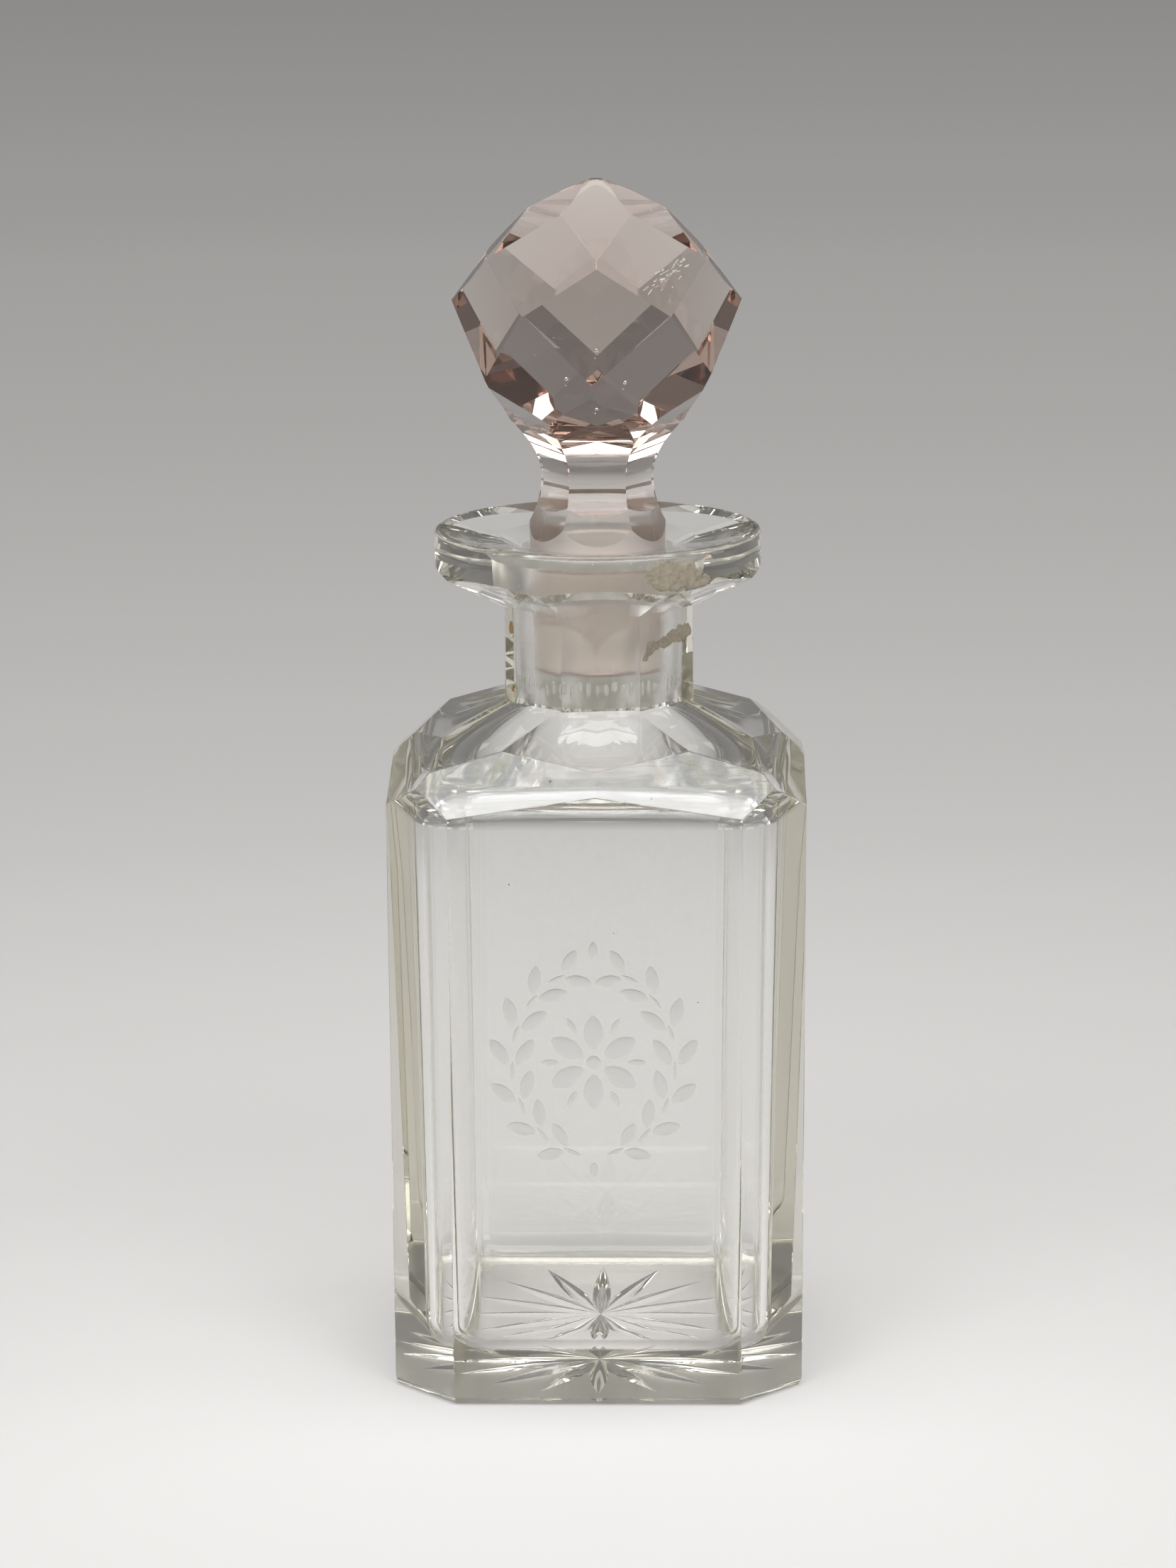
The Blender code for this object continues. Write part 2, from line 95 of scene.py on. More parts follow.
# ---- blown cavity --------------------------------------------------------
FLOOR_Z = 5.0 * MM
FLOOR_ROUND = 3.6 * MM
CAVITY_HALF_LOW = 18.9 * MM
CAVITY_HALF_HIGH = 20.4 * MM
CAVITY_CORNER_LOW = 4.8 * MM
CAVITY_CORNER_HIGH = 6.2 * MM
CAVITY_WALL_TOP_Z = 72.2 * MM
SHOULDER_ROUND = 3.4 * MM
DOME_TOP_RADIUS = 9.6 * MM
DOME_TOP_Z = 81.0 * MM
CORNER_STEPS = 26
FLAT_STEPS = 10
ROUND_STEP = math.radians(4.0)

# ---- star cut under the foot --------------------------------------------
STAR_RAYS = 16
STAR_RADIUS = 19.0 * MM
STAR_BELLY_RADIUS = 7.5 * MM
STAR_BELLY_DEPTH = 0.75 * MM
STAR_CENTRE_DEPTH = 0.40 * MM
STAR_WALL_SLOPE = 0.65
STAR_STEPS = 20
STAR_ACROSS = 4             # steps from a cut's keel to its edge
STAR_ROUNDING = 1.35

# ---- wheel-cut spray on the front face ------------------------------------
SPRAY_CENTRE_X = -0.3 * MM
SPRAY_CENTRE_Z = 44.0 * MM
SPRAY_REACH_X = 9.9 * MM
SPRAY_REACH_Z = 11.7 * MM
SPRAY_DEPTH = 0.15 * MM

# ---- stopper -------------------------------------------------------------
BALL_SIDES = 6
BALL_CENTRE_Z = 129.1 * MM
TIP_TOP_Z = 148.70 * MM
TIP_RADIUS = 3.34 * MM
TIP_CONE = math.radians(24.0)
CAP_TILT, CAP_REACH = math.radians(60.0), 17.49 * MM
CROWN_TILT, CROWN_REACH = math.radians(55.6), 17.356 * MM
UPPER_TILT, UPPER_REACH = math.radians(39.8), 16.71 * MM
GIRDLE_TILT, GIRDLE_REACH = math.radians(3.2), 15.7 * MM
LOWER_TILT, LOWER_REACH = math.radians(-25.6), 14.0 * MM
LOWER_UNEVEN = math.radians(2.3)
LOWER_PIVOT_Z = 2.7 * MM
STOPPER_TURN = math.radians(1.0)
STEM_HALF_FLATS = 6.0 * MM
STEM_WAIST_Z = 112.0 * MM
FLUTE_RADIUS_UP = 8.0 * MM
FLUTE_TURN_ANGLE = math.radians(32.0)
FLUTE_RADIUS_OUT = 20.0 * MM
FLUTE_END_ANGLE = math.radians(52.0)
FLUTE_RADIUS_DOWN = 12.9 * MM
COLLAR_SIDES = 160
STEM_STEPS = 28
OPEN_STEPS = 14

# ---- air bubbles left in the ball: centre and (half width, half height) ---
BUBBLES = (((-0.14 * MM, 4.45 * MM, 127.46 * MM), (0.26 * MM, 0.27 * MM)),
           ((-0.30 * MM, 4.40 * MM, 126.55 * MM), (0.09 * MM, 0.13 * MM)),
           ((4.6 * MM, 1.2 * MM, 131.6 * MM), (0.05 * MM, 0.06 * MM)),
           ((-5.2 * MM, -2.1 * MM, 129.8 * MM), (0.06 * MM, 0.08 * MM)),
           ((1.9 * MM, -3.0 * MM, 121.3 * MM), (0.05 * MM, 0.07 * MM)))

EDGE = 0.09 * MM          # polished width of a cut edge
SHARP = math.radians(14.0)  # cut edges sharper than this stay crisp


# ==========================================================================
# mesh helpers
# ==========================================================================
def add_object(name, bm, origin=(0.0, 0.0, 0.0)):
    bmesh.ops.recalc_face_normals(bm, faces=bm.faces[:])
    mesh = bpy.data.meshes.new(name)
    bmesh.ops.translate(bm, vec=-Vector(origin), verts=bm.verts[:])
    bm.to_mesh(mesh)
    bm.free()
    ob = bpy.data.objects.new(name, mesh)
    ob.location = origin
    bpy.context.scene.collection.objects.link(ob)
    return ob


def combine(target, tool, operation):
    mod = target.modifiers.new(operation.lower() + "_" + tool.name, 'BOOLEAN')
    mod.operation = operation
    mod.solver = 'EXACT'
    mod.object = tool
    return mod


def turned(vec, steps, count, extra=0.0):
    a = 2.0 * math.pi * steps / count + extra
    return Vector((vec.x * math.cos(a) - vec.y * math.sin(a),
                   vec.x * math.sin(a) + vec.y * math.cos(a), vec.z))


def mirrored(vec):
    return Vector((-vec.x, vec.y, vec.z))


def cut(bm, point, normal):
    geom = bm.verts[:] + bm.edges[:] + bm.faces[:]
    res = bmesh.ops.bisect_plane(bm, geom=geom, dist=2e-6, plane_co=point,
                                 plane_no=normal, clear_outer=True)
    rim = [g for g in res["geom_cut"] if isinstance(g, bmesh.types.BMEdge)
           and g.is_boundary]
    if rim:
        bmesh.ops.edgeloop_fill(bm, edges=rim)


def soften(bm, width, edges=None):
    """Grind a narrow polished flat along the sharp edges of a convex blank."""
    bm.edges.ensure_lookup_table()
    if edges is None:
        edges = [e for e in bm.edges if len(e.link_faces) == 2
                 and e.calc_face_angle(0.0) > math.radians(7.0)]
    if edges:
        bmesh.ops.bevel(bm, geom=edges, offset=width, offset_type='OFFSET',
                        segments=2, profile=0.5, affect='EDGES',
                        clamp_overlap=True)


def plane_through(a, b, c):
    n = (b - a).cross(c - a).normalized()
    return a, (n if n.z > 0.0 else -n)


def blank_box(half, z0, z1):
    bm = bmesh.new()
    bmesh.ops.create_cube(bm, size=1.0)
    bmesh.ops.scale(bm, vec=(2.0 * half, 2.0 * half, z1 - z0),
                    verts=bm.verts[:])
    bmesh.ops.translate(bm, vec=(0.0, 0.0, (z0 + z1) / 2.0),
                        verts=bm.verts[:])
    return bm


def skin_rings(rings, smooth=True):
    bm = bmesh.new()
    stacks = [[bm.verts.new(p) for p in ring] for ring in rings]
    n = len(stacks[0])
    for low, high in zip(stacks, stacks[1:]):
        for i in range(n):
            j = (i + 1) % n
            f = bm.faces.new((low[i], low[j], high[j], high[i]))
            f.smooth = smooth
    bm.faces.new(list(reversed(stacks[0])))
    bm.faces.new(stacks[-1])
    return bm


def turned_solid(profile, sides):
    rings = []
    for r, z in profile:
        rings.append([Vector((r * math.cos(2.0 * math.pi * i / sides),
                              r * math.sin(2.0 * math.pi * i / sides), z))
                      for i in range(sides)])
    return skin_rings(rings)


def arc(start, end):
    steps = max(2, math.ceil(abs(end - start) / ROUND_STEP))
    return [start + (end - start) * i / steps for i in range(steps + 1)]


# ==========================================================================
# bottle
# ==========================================================================
def shoulder_planes():
    ridge_foot = Vector((0.0, -HALF, RIDGE_FOOT_Z))
    face_corner = Vector((HALF_FACE, -HALF, FACE_CORNER_Z))
    ridge_top = Vector((0.0, -RIDGE_TOP_Y,
                        RIDGE_FOOT_Z + LOW_RIDGE_SLOPE * (HALF - RIDGE_TOP_Y)))
    low = plane_through(ridge_foot, face_corner, ridge_top)
    high = (ridge_top, Vector((0.0, -HIGH_FACE_SLOPE, 1.0)).normalized())
    reach = HIGH_CORNER_REACH
    n = low[1]
    z = low[0].z - (n.x * (reach - low[0].x) + n.y * (-reach - low[0].y)) / n.z
    corner_start = Vector((reach, -reach, z))
    lean = HIGH_CORNER_SLOPE / math.sqrt(2.0)
    corner = (corner_start, Vector((lean, -lean, 1.0)).normalized())
    planes = []
    for k in range(4):
        for co, no in (low, (mirrored(low[0]), mirrored(low[1])), high,
                       corner):
            planes.append((turned(co, k, 4), turned(no, k, 4)))
    return planes


def front_y(z):
    """Y of the front face at a height below the shoulder."""
    return -(HALF_FOOT + (HALF - HALF_FOOT) * z / RIDGE_FOOT_Z)


def build_body():
    bm = blank_box(HALF + 1.0 * MM, 0.0, NECK_TOP_Z - 2.0 * MM)
    side = Vector((0.0, -1.0, 0.0))
    down = Vector((0.0, 0.0, -1.0))
    corner_foot = (HALF_FOOT + HALF_FACE_FOOT) / math.sqrt(2.0)
    corner_top = (HALF + HALF_FACE) / math.sqrt(2.0)
    for k in range(8):
        foot, top = ((HALF_FOOT, HALF) if k % 2 == 0
                     else (corner_foot, corner_top))
        out = turned(side, k, 8)
        no = (out + down * ((top - foot) / RIDGE_FOOT_Z)).normalized()
        cut(bm, out * foot, no)
    for co, no in shoulder_planes():
        cut(bm, co, no)
    for k in range(8):
        reach = HALF_FOOT if k % 2 == 0 else corner_foot
        out = turned(side, k, 8)
        no = (out * FOOT_BEVEL_UP + down * FOOT_BEVEL_IN).normalized()
        cut(bm, out * (reach - FOOT_BEVEL_IN), no)
    soften(bm, EDGE)
    return add_object("bottle_glass", bm)


def build_neck():
    reach = NECK_FLATS / 2.0
    bm = blank_box(reach * 1.5, NECK_FOOT_Z, NECK_TOP_Z + 3.0 * MM)
    for k in range(8):
        no = turned(Vector((0.0, -1.0, 0.0)), k, 8, NECK_TURN)
        cut(bm, no * reach, no)
    upright = [e for e in bm.edges
               if abs(e.verts[0].co.z - e.verts[1].co.z) > 5.0 * MM]
    soften(bm, EDGE * 1.5, upright)
    return add_object("neck_blank", bm)


def build_lip():
    profile = [(LIP_RADIUS, NECK_TOP_Z - 8.0 * MM),
               (LIP_RADIUS, LIP_TOP_Z - LIP_EDGE_ROUND)]
    for t in arc(0.0, math.pi / 2.0)[1:]:
        profile.append((LIP_RADIUS - LIP_EDGE_ROUND * (1.0 - math.cos(t)),
                        LIP_TOP_Z - LIP_EDGE_ROUND * (1.0 - math.sin(t))))
    bm = turned_solid(profile, LIP_SIDES)
    for k in range(8):
        out = turned(Vector((0.0, -1.0, 0.0)), k, 8, NECK_TURN)
        foot = out * (NECK_FLATS / 2.0) + Vector((0.0, 0.0, NECK_TOP_Z))
        no = (out * LIP_UNDER_SLOPE - Vector((0.0, 0.0, 1.0))).normalized()
        cut(bm, foot, no)
    return add_object("lip_blank", bm)


def plug_radius(z):
    return PLUG_TOP_RADIUS - PLUG_TAPER * (MOUTH_Z - z)


def cavity_angles():
    half = (CAVITY_HALF_LOW + CAVITY_HALF_HIGH) / 2.0
    corner = (CAVITY_CORNER_LOW + CAVITY_CORNER_HIGH) / 2.0
    start = math.atan2(half - corner, half)
    turn = [start + (math.pi / 2.0 - 2.0 * start) * i / CORNER_STEPS
            for i in range(CORNER_STEPS + 1)]
    flat = [math.pi / 2.0 - start + 2.0 * start * i / FLAT_STEPS
            for i in range(1, FLAT_STEPS)]
    return [a + k * math.pi / 2.0 for k in range(4) for a in turn + flat]


def rounded_square(angle, half, corner):
    a = angle % (math.pi / 2.0)
    c, s = math.cos(a), math.sin(a)
    big, small = max(c, s), min(c, s)
    flat = half / big
    inner = half - corner
    if flat * small <= inner:
        return flat
    along = inner * (c + s)
    return along + math.sqrt(max(along * along
                                 - 2.0 * inner * inner + corner * corner, 0.0))


def hollow_rings():
    rings = []
    for t in arc(0.0, math.pi / 2.0):
        rings.append((FLOOR_Z + FLOOR_ROUND * (1.0 - math.cos(t)),
                      CAVITY_HALF_LOW - FLOOR_ROUND * (1.0 - math.sin(t)),
                      CAVITY_CORNER_LOW - 0.5 * FLOOR_ROUND
                      * (1.0 - math.sin(t))))
    z0 = rings[-1][0]
    steps = 8
    for i in range(1, steps):
        t = i / steps
        rings.append((z0 + (CAVITY_WALL_TOP_Z - z0) * t,
                      CAVITY_HALF_LOW + (CAVITY_HALF_HIGH
                                         - CAVITY_HALF_LOW) * t,
                      CAVITY_CORNER_LOW + (CAVITY_CORNER_HIGH
                                           - CAVITY_CORNER_LOW) * t))
    rise = math.atan2(DOME_TOP_Z - CAVITY_WALL_TOP_Z - SHOULDER_ROUND,
                      CAVITY_HALF_HIGH - DOME_TOP_RADIUS)
    bend = math.pi / 2.0 - rise
    for t in arc(0.0, bend):
        rings.append((CAVITY_WALL_TOP_Z + SHOULDER_ROUND * math.sin(t),
                      CAVITY_HALF_HIGH - SHOULDER_ROUND * (1.0 - math.cos(t)),
                      CAVITY_CORNER_HIGH + 0.9 * MM * t / bend))
    z0, h0, c0 = rings[-1]
    steps = 18
    for i in range(1, steps + 1):
        t = i / steps
        half = h0 + (DOME_TOP_RADIUS - h0) * t
        rings.append((z0 + (DOME_TOP_Z - z0) * (0.55 * t + 0.45 * t * t),
                      half, c0 + (half - c0) * t ** 0.7))
    z0 = rings[-1][0]
    bore = plug_radius(BORE_FOOT_Z) + JOINT_GAP
    for t in arc(math.radians(35.0), math.pi / 2.0)[1:]:
        half = bore + (DOME_TOP_RADIUS - bore) * (1.0 - math.sin(t)) \
            / (1.0 - math.sin(math.radians(35.0)))
        rings.append((BORE_FOOT_Z - (BORE_FOOT_Z - z0) * math.cos(t)
                      / math.cos(math.radians(35.0)), half, half))
    throat = plug_radius(THROAT_Z) + JOINT_GAP
    steps = 12
    for i in range(1, steps + 1):
        z = BORE_FOOT_Z + (THROAT_Z - BORE_FOOT_Z) * i / steps
        half = plug_radius(z) + JOINT_GAP
        rings.append((z, half, half))
    rings.append((THROAT_Z + 1.0 * MM, throat + 0.8 * MM, throat + 0.8 * MM))
    rings.append((MOUTH_Z, MOUTH_RADIUS, MOUTH_RADIUS))
    rim = LIP_RADIUS - 2.0 * LIP_EDGE_ROUND
    over = 2.0 * MM
    flare = over * (rim - MOUTH_RADIUS) / (LIP_TOP_Z - MOUTH_Z)
    rings.append((LIP_TOP_Z + over, rim + flare, rim + flare))
    return rings


def build_hollow():
    angles = cavity_angles()
    rings = []
    for z, half, corner in hollow_rings():
        rings.append([Vector((rounded_square(a, half, corner) * math.cos(a),
                              rounded_square(a, half, corner) * math.sin(a),
                              z)) for a in angles])
    return add_object("hollow_cutter", skin_rings(rings))


def star_depth(r):
    if r < STAR_BELLY_RADIUS:
        t = r / STAR_BELLY_RADIUS
        swell = math.sin(t * math.pi / 2.0)
        return STAR_CENTRE_DEPTH + (STAR_BELLY_DEPTH
                                    - STAR_CENTRE_DEPTH) * swell
    t = (r - STAR_BELLY_RADIUS) / (STAR_RADIUS - STAR_BELLY_RADIUS)
    return STAR_BELLY_DEPTH * math.cos(t * math.pi / 2.0)


def build_star():
    """Tapering mitre cuts with a softly rounded keel."""
    bm = bmesh.new()
    below = -1.0 * MM
    half_turn = math.pi / STAR_RAYS
    centre = bm.verts.new((0.0, 0.0, STAR_CENTRE_DEPTH))
    floor = bm.verts.new((0.0, 0.0, below))
    radii = [STAR_RADIUS * i / STAR_STEPS for i in range(1, STAR_STEPS + 1)]
    shares = [i / STAR_ACROSS for i in range(-STAR_ACROSS, STAR_ACROSS + 1)]
    for k in range(STAR_RAYS):
        rows = []
        for r in radii:
            depth = star_depth(r)
            wide = min(depth / STAR_WALL_SLOPE, r * math.tan(half_turn))
            row = []
            for u in shares:
                z = depth - STAR_WALL_SLOPE * wide * abs(u) ** STAR_ROUNDING
                row.append(bm.verts.new(turned(
                    Vector((u * wide, -r, max(z, 0.0))), k, STAR_RAYS)))
            rows.append(row)
        for i in range(len(shares) - 1):
            f = bm.faces.new((centre, rows[0][i], rows[0][i + 1]))
            f.smooth = True
        for low, high in zip(rows, rows[1:]):
            for i in range(len(shares) - 1):
                f = bm.faces.new((low[i], high[i], high[i + 1], low[i + 1]))
                f.smooth = True
    bmesh.ops.remove_doubles(bm, verts=bm.verts[:], dist=1.0e-6)
    rim = [e for e in bm.edges if e.is_boundary]
    ends = {v: None for e in rim for v in e.verts}
    skirt = {}
    for v in sorted(ends, key=lambda w: w.index):
        skirt[v] = bm.verts.new((v.co.x, v.co.y, below))
    for e in rim:
        a, b = e.verts
        bm.faces.new((a, b, skirt[b], skirt[a]))
        bm.faces.new((skirt[a], skirt[b], floor))
    bmesh.ops.remove_doubles(bm, verts=bm.verts[:], dist=1.0e-6)
    return add_object("star_cutter", bm)


def olive(bm, u, v, lean, length, width, depth):
    """One pointed wheel cut on the front face; lean is from upright."""
    along, around = 14, 14
    z0 = SPRAY_CENTRE_Z + v
    place = (Matrix.Translation((SPRAY_CENTRE_X + u,
                                 front_y(z0) - 0.2 * depth, z0))
             @ Matrix.Rotation(lean, 4, 'Y'))
    rings = []
    for i in range(1, along):
        h = -1.0 + 2.0 * i / along
        swell = (1.0 - h * h) ** 0.85
        rings.append([place @ Vector((
            0.5 * width * swell * math.cos(2.0 * math.pi * (j + 0.5)
                                           / around),
            1.2 * depth * swell * math.sin(2.0 * math.pi * (j + 0.5)
                                           / around),
            0.5 * length * h)) for j in range(around)])
    foot = bm.verts.new(place @ Vector((0.0, 0.0, -0.5 * length)))
    head = bm.verts.new(place @ Vector((0.0, 0.0, 0.5 * length)))
    stacks = [[bm.verts.new(p) for p in ring] for ring in rings]
    for j in range(around):
        k = (j + 1) % around
        faces = [(foot, stacks[0][k], stacks[0][j]),
                 (head, stacks[-1][j], stacks[-1][k])]
        for low, high in zip(stacks, stacks[1:]):
            faces.append((low[j], low[k], high[k], high[j]))
        for face in faces:
            bm.faces.new(face).smooth = True


def build_spray():
    """A blossom inside two sprays of leaves, the cuts kept apart."""
    bm = bmesh.new()
    petals = 6
    for k in range(petals):
        a = 2.0 * math.pi * k / petals
        olive(bm, 3.7 * MM * math.sin(a), 3.7 * MM * math.cos(a), a,
              4.7 * MM, 2.5 * MM, SPRAY_DEPTH)
        b = a + math.pi / petals
        olive(bm, 5.3 * MM * math.sin(b), 5.3 * MM * math.cos(b), b,
              2.4 * MM, 0.8 * MM, SPRAY_DEPTH * 0.7)
    olive(bm, 0.0, 0.0, 0.0, 1.9 * MM, 1.9 * MM, SPRAY_DEPTH)
    leaves = 7
    for side in (-1.0, 1.0):
        for i in range(leaves):
            t = math.radians(-69.0 + 138.0 * i / (leaves - 1))
            px = side * SPRAY_REACH_X * math.cos(t)
            pz = SPRAY_REACH_Z * math.sin(t)
            tx = -side * SPRAY_REACH_X * math.sin(t)
            tz = SPRAY_REACH_Z * math.cos(t)
            way = math.atan2(tx, tz)
            size = 0.80 + 0.20 * math.cos(t)
            for turn in (-1.0, 1.0):
                lean = way + turn * math.radians(34.0)
                off = turn * 1.55 * MM * size
                x = px + off * math.cos(way) + 1.3 * MM * math.sin(way)
                z = pz - off * math.sin(way) + 1.3 * MM * math.cos(way)
                olive(bm, x, z, lean, 4.1 * MM * size, 1.75 * MM * size,
                      SPRAY_DEPTH)
            olive(bm, px - 1.0 * MM * math.sin(way),
                  pz - 1.0 * MM * math.cos(way), way, 2.5 * MM, 0.5 * MM,
                  SPRAY_DEPTH * 0.7)
    olive(bm, 0.0, 14.0 * MM, 0.0, 2.6 * MM, 1.2 * MM, SPRAY_DEPTH)
    olive(bm, 0.0, -13.6 * MM, 0.0, 2.0 * MM, 1.1 * MM, SPRAY_DEPTH)
    return add_object("spray_cutter", bm)


def rule_front(ob):
    """Net the front face with fine lines, so every cut crosses real edges."""
    bm = bmesh.new()
    bm.from_mesh(ob.data)
    pitch = 2.513 * MM
    lines = [(Vector((0.037 * MM + k * pitch, 0.0, 0.0)),
              Vector((1.0, 0.0, 0.0))) for k in range(-6, 7)]
    lines += [(Vector((0.0, 0.0, 27.3 * MM + k * pitch)),
               Vector((0.0, 0.0, 1.0))) for k in range(15)]
    for point, normal in lines:
        faces = [f for f in bm.faces if f.normal.y < -0.99
                 and f.calc_center_median().y < -20.0 * MM]
        geom = list({v for f in faces for v in f.verts})
        geom += list({e for f in faces for e in f.edges}) + faces
        bmesh.ops.bisect_plane(bm, geom=geom, dist=1e-7, plane_co=point,
                               plane_no=normal)
    bm.to_mesh(ob.data)
    bm.free()


# ==========================================================================
# stopper
# ==========================================================================
def ball_rows():
    rows = ((CAP_TILT, CAP_REACH, 0.0), (CROWN_TILT, CROWN_REACH, 0.0),
            (UPPER_TILT, UPPER_REACH, 0.5),
            (GIRDLE_TILT, GIRDLE_REACH, 0.0), (LOWER_TILT, LOWER_REACH, 0.5))
    out = []
    for tilt, reach, offset in rows:
        for k in range(BALL_SIDES):
            step = (k + offset + BALL_SIDES / 2.0) % BALL_SIDES \
                - BALL_SIDES / 2.0
            if tilt == LOWER_TILT and abs(step) < 1.0:
                edge = (reach - math.sin(tilt) * LOWER_PIVOT_Z) \
                    / math.cos(tilt)
                lean = tilt - math.copysign(LOWER_UNEVEN, step)
                out.append((lean, math.cos(lean) * edge
                            + math.sin(lean) * LOWER_PIVOT_Z, step))
            else:
                out.append((tilt, reach, step))
    return out


def build_ball():
    centre = Vector((0.0, 0.0, BALL_CENTRE_Z))
    bm = blank_box(24.0 * MM, STEM_WAIST_Z - 4.0 * MM,
                   BALL_CENTRE_Z + 24.0 * MM)
    for tilt, reach, step in ball_rows():
        base = Vector((0.0, -math.cos(tilt), math.sin(tilt)))
        no = turned(base, step, BALL_SIDES, STOPPER_TURN)
        cut(bm, centre + no * reach, no)
    tip = max(v.co.z for v in bm.verts) - 0.5 * MM
    soften(bm, EDGE * 0.8, [e for e in bm.edges
                            if max(v.co.z for v in e.verts) < tip
                            and e.calc_face_angle(0.0) > math.radians(7.0)])
    return add_object("stopper_glass", bm)


def build_tip():
    """The tip of the ball, worn round, as a cone with a domed point."""
    profile = [(24.0 * MM, PLUG_FOOT_Z - 5.0 * MM)]
    steps = 10
    r = TIP_RADIUS * math.sin(TIP_CONE)
    z = TIP_TOP_Z - TIP_RADIUS * (1.0 - math.cos(TIP_CONE))
    profile.append((24.0 * MM, z - (24.0 * MM - r) * math.tan(TIP_CONE)))
    for i in range(steps, 0, -1):
        t = TIP_CONE * i / steps
        profile.append((TIP_RADIUS * math.sin(t),
                        TIP_TOP_Z - TIP_RADIUS * (1.0 - math.cos(t))))
    return add_object("tip_envelope", turned_solid(profile, 96))


def build_plug():
    foot = plug_radius(PLUG_FOOT_Z)
    profile = []
    for t in arc(0.0, math.pi / 2.0):
        profile.append((foot - PLUG_FOOT_ROUND * (1.0 - math.sin(t)),
                        PLUG_FOOT_Z + PLUG_FOOT_ROUND * (1.0 - math.cos(t))))
    z0 = profile[-1][1]
    steps = 10
    top = MOUTH_Z + 0.4 * MM
    for i in range(1, steps + 1):
        z = z0 + (top - z0) * i / steps
        profile.append((foot + (PLUG_TOP_RADIUS - foot) * i / steps, z))
    profile.append((PLUG_TOP_RADIUS, STEM_WAIST_Z + 2.0 * MM))
    return add_object("plug_blank", turned_solid(profile, COLLAR_SIDES))


def stem_profile():
    out = [(16.0 * MM, PLUG_FOOT_Z - 3.0 * MM),
           (16.0 * MM, MOUTH_Z - 6.0 * MM)]
    reach = math.radians(52.0)
    for i in range(STEM_STEPS, 0, -1):
        t = reach * i / STEM_STEPS
        out.append((STEM_HALF_FLATS + FLUTE_RADIUS_DOWN * (1 - math.cos(t)),
                    STEM_WAIST_Z - FLUTE_RADIUS_DOWN * math.sin(t)))
    for i in range(STEM_STEPS + 1):
        t = FLUTE_TURN_ANGLE * i / STEM_STEPS
        out.append((STEM_HALF_FLATS + FLUTE_RADIUS_UP * (1.0 - math.cos(t)),
                    STEM_WAIST_Z + FLUTE_RADIUS_UP * math.sin(t)))
    w, z = out[-1]
    for i in range(1, OPEN_STEPS + 1):
        t = FLUTE_TURN_ANGLE + (FLUTE_END_ANGLE - FLUTE_TURN_ANGLE) \
            * i / OPEN_STEPS
        out.append((w + FLUTE_RADIUS_OUT * (math.cos(FLUTE_TURN_ANGLE)
                                            - math.cos(t)),
                    z + FLUTE_RADIUS_OUT * (math.sin(t)
                                            - math.sin(FLUTE_TURN_ANGLE))))
    w, z = out[-1]
    far = 24.0 * MM
    out.append((far, z + (far - w) / math.tan(FLUTE_END_ANGLE)))
    out.append((far, BALL_CENTRE_Z + 26.0 * MM))
    return out


def build_flutes():
    rings = []
    for w, z in stem_profile():
        r = w / math.cos(math.pi / BALL_SIDES)
        rings.append([turned(Vector((0.0, -r, z)), i + 0.5, BALL_SIDES,
                             STOPPER_TURN)
                      for i in range(BALL_SIDES)])
    bm = skin_rings(rings)
    arris = [e for e in bm.edges
             if abs(math.atan2(e.verts[0].co.x, e.verts[0].co.y)
                    - math.atan2(e.verts[1].co.x, e.verts[1].co.y)) < 0.01
             and e.calc_face_angle(0.0) > math.radians(20.0)]
    for e in arris:
        e.smooth = False
    return add_object("flute_envelope", bm)


def bake_shape(ob, tools):
    """Fix the cut shape as the object's own mesh and clear its tools away."""
    bpy.context.view_layer.update()
    graph = bpy.context.evaluated_depsgraph_get()
    solid = bpy.data.meshes.new_from_object(ob.evaluated_get(graph))
    ob.modifiers.clear()
    bm = bmesh.new()
    bm.from_mesh(solid)
    bmesh.ops.remove_doubles(bm, verts=bm.verts[:], dist=WELD)
    bmesh.ops.dissolve_degenerate(bm, edges=bm.edges[:], dist=WELD)
    for e in bm.edges:
        flat = any(not f.smooth for f in e.link_faces)
        e.smooth = e.smooth and not (flat or e.calc_face_angle(0.0) > SHARP)
    for f in bm.faces:
        f.smooth = True
    bm.to_mesh(solid)
    bm.free()
    ob.data = solid
    solid.name = ob.name
    for tool in tools:
        bpy.data.objects.remove(tool, do_unlink=True)


def mark(ob, name, test):
    """Write a 0-1 finish value on every face from a test of its centre."""
    layer = ob.data.attributes.new(name, 'FLOAT', 'FACE')
    values = [float(test(p.center, p.normal)) for p in ob.data.polygons]
    layer.data.foreach_set("value", values)


def in_bore(c, n):
    r = math.hypot(c.x, c.y)
    return (BORE_FOOT_Z - 1.2 * MM < c.z < THROAT_Z + 0.6 * MM
            and r < plug_radius(c.z) + JOINT_GAP + 0.6 * MM)


def under_foot(c, n):
    return c.z < 0.01 * MM


def in_spray(c, n):
    inside = c.y - front_y(c.z)
    return (0.003 * MM < inside < 0.5 * MM and abs(c.x) < 15.0 * MM
            and abs(c.z - SPRAY_CENTRE_Z) < 16.5 * MM)


def scuffed(c, n):
    """The two low facets over the front face have rubbed the most."""
    if c.y > -15.0 * MM:
        return 0.0
    facet = shoulder_planes()[0][1]
    if n.dot(facet) > 0.9999:
        return 1.0
    if n.dot(mirrored(facet)) > 0.9999:
        return 0.6
    return 0.0


def on_plug(c, n):
    r = math.hypot(c.x, c.y)
    return (c.z < MOUTH_Z + 1.6 * MM and r > plug_radius(c.z) - 0.4 * MM
            and abs(n.z) < 0.5)


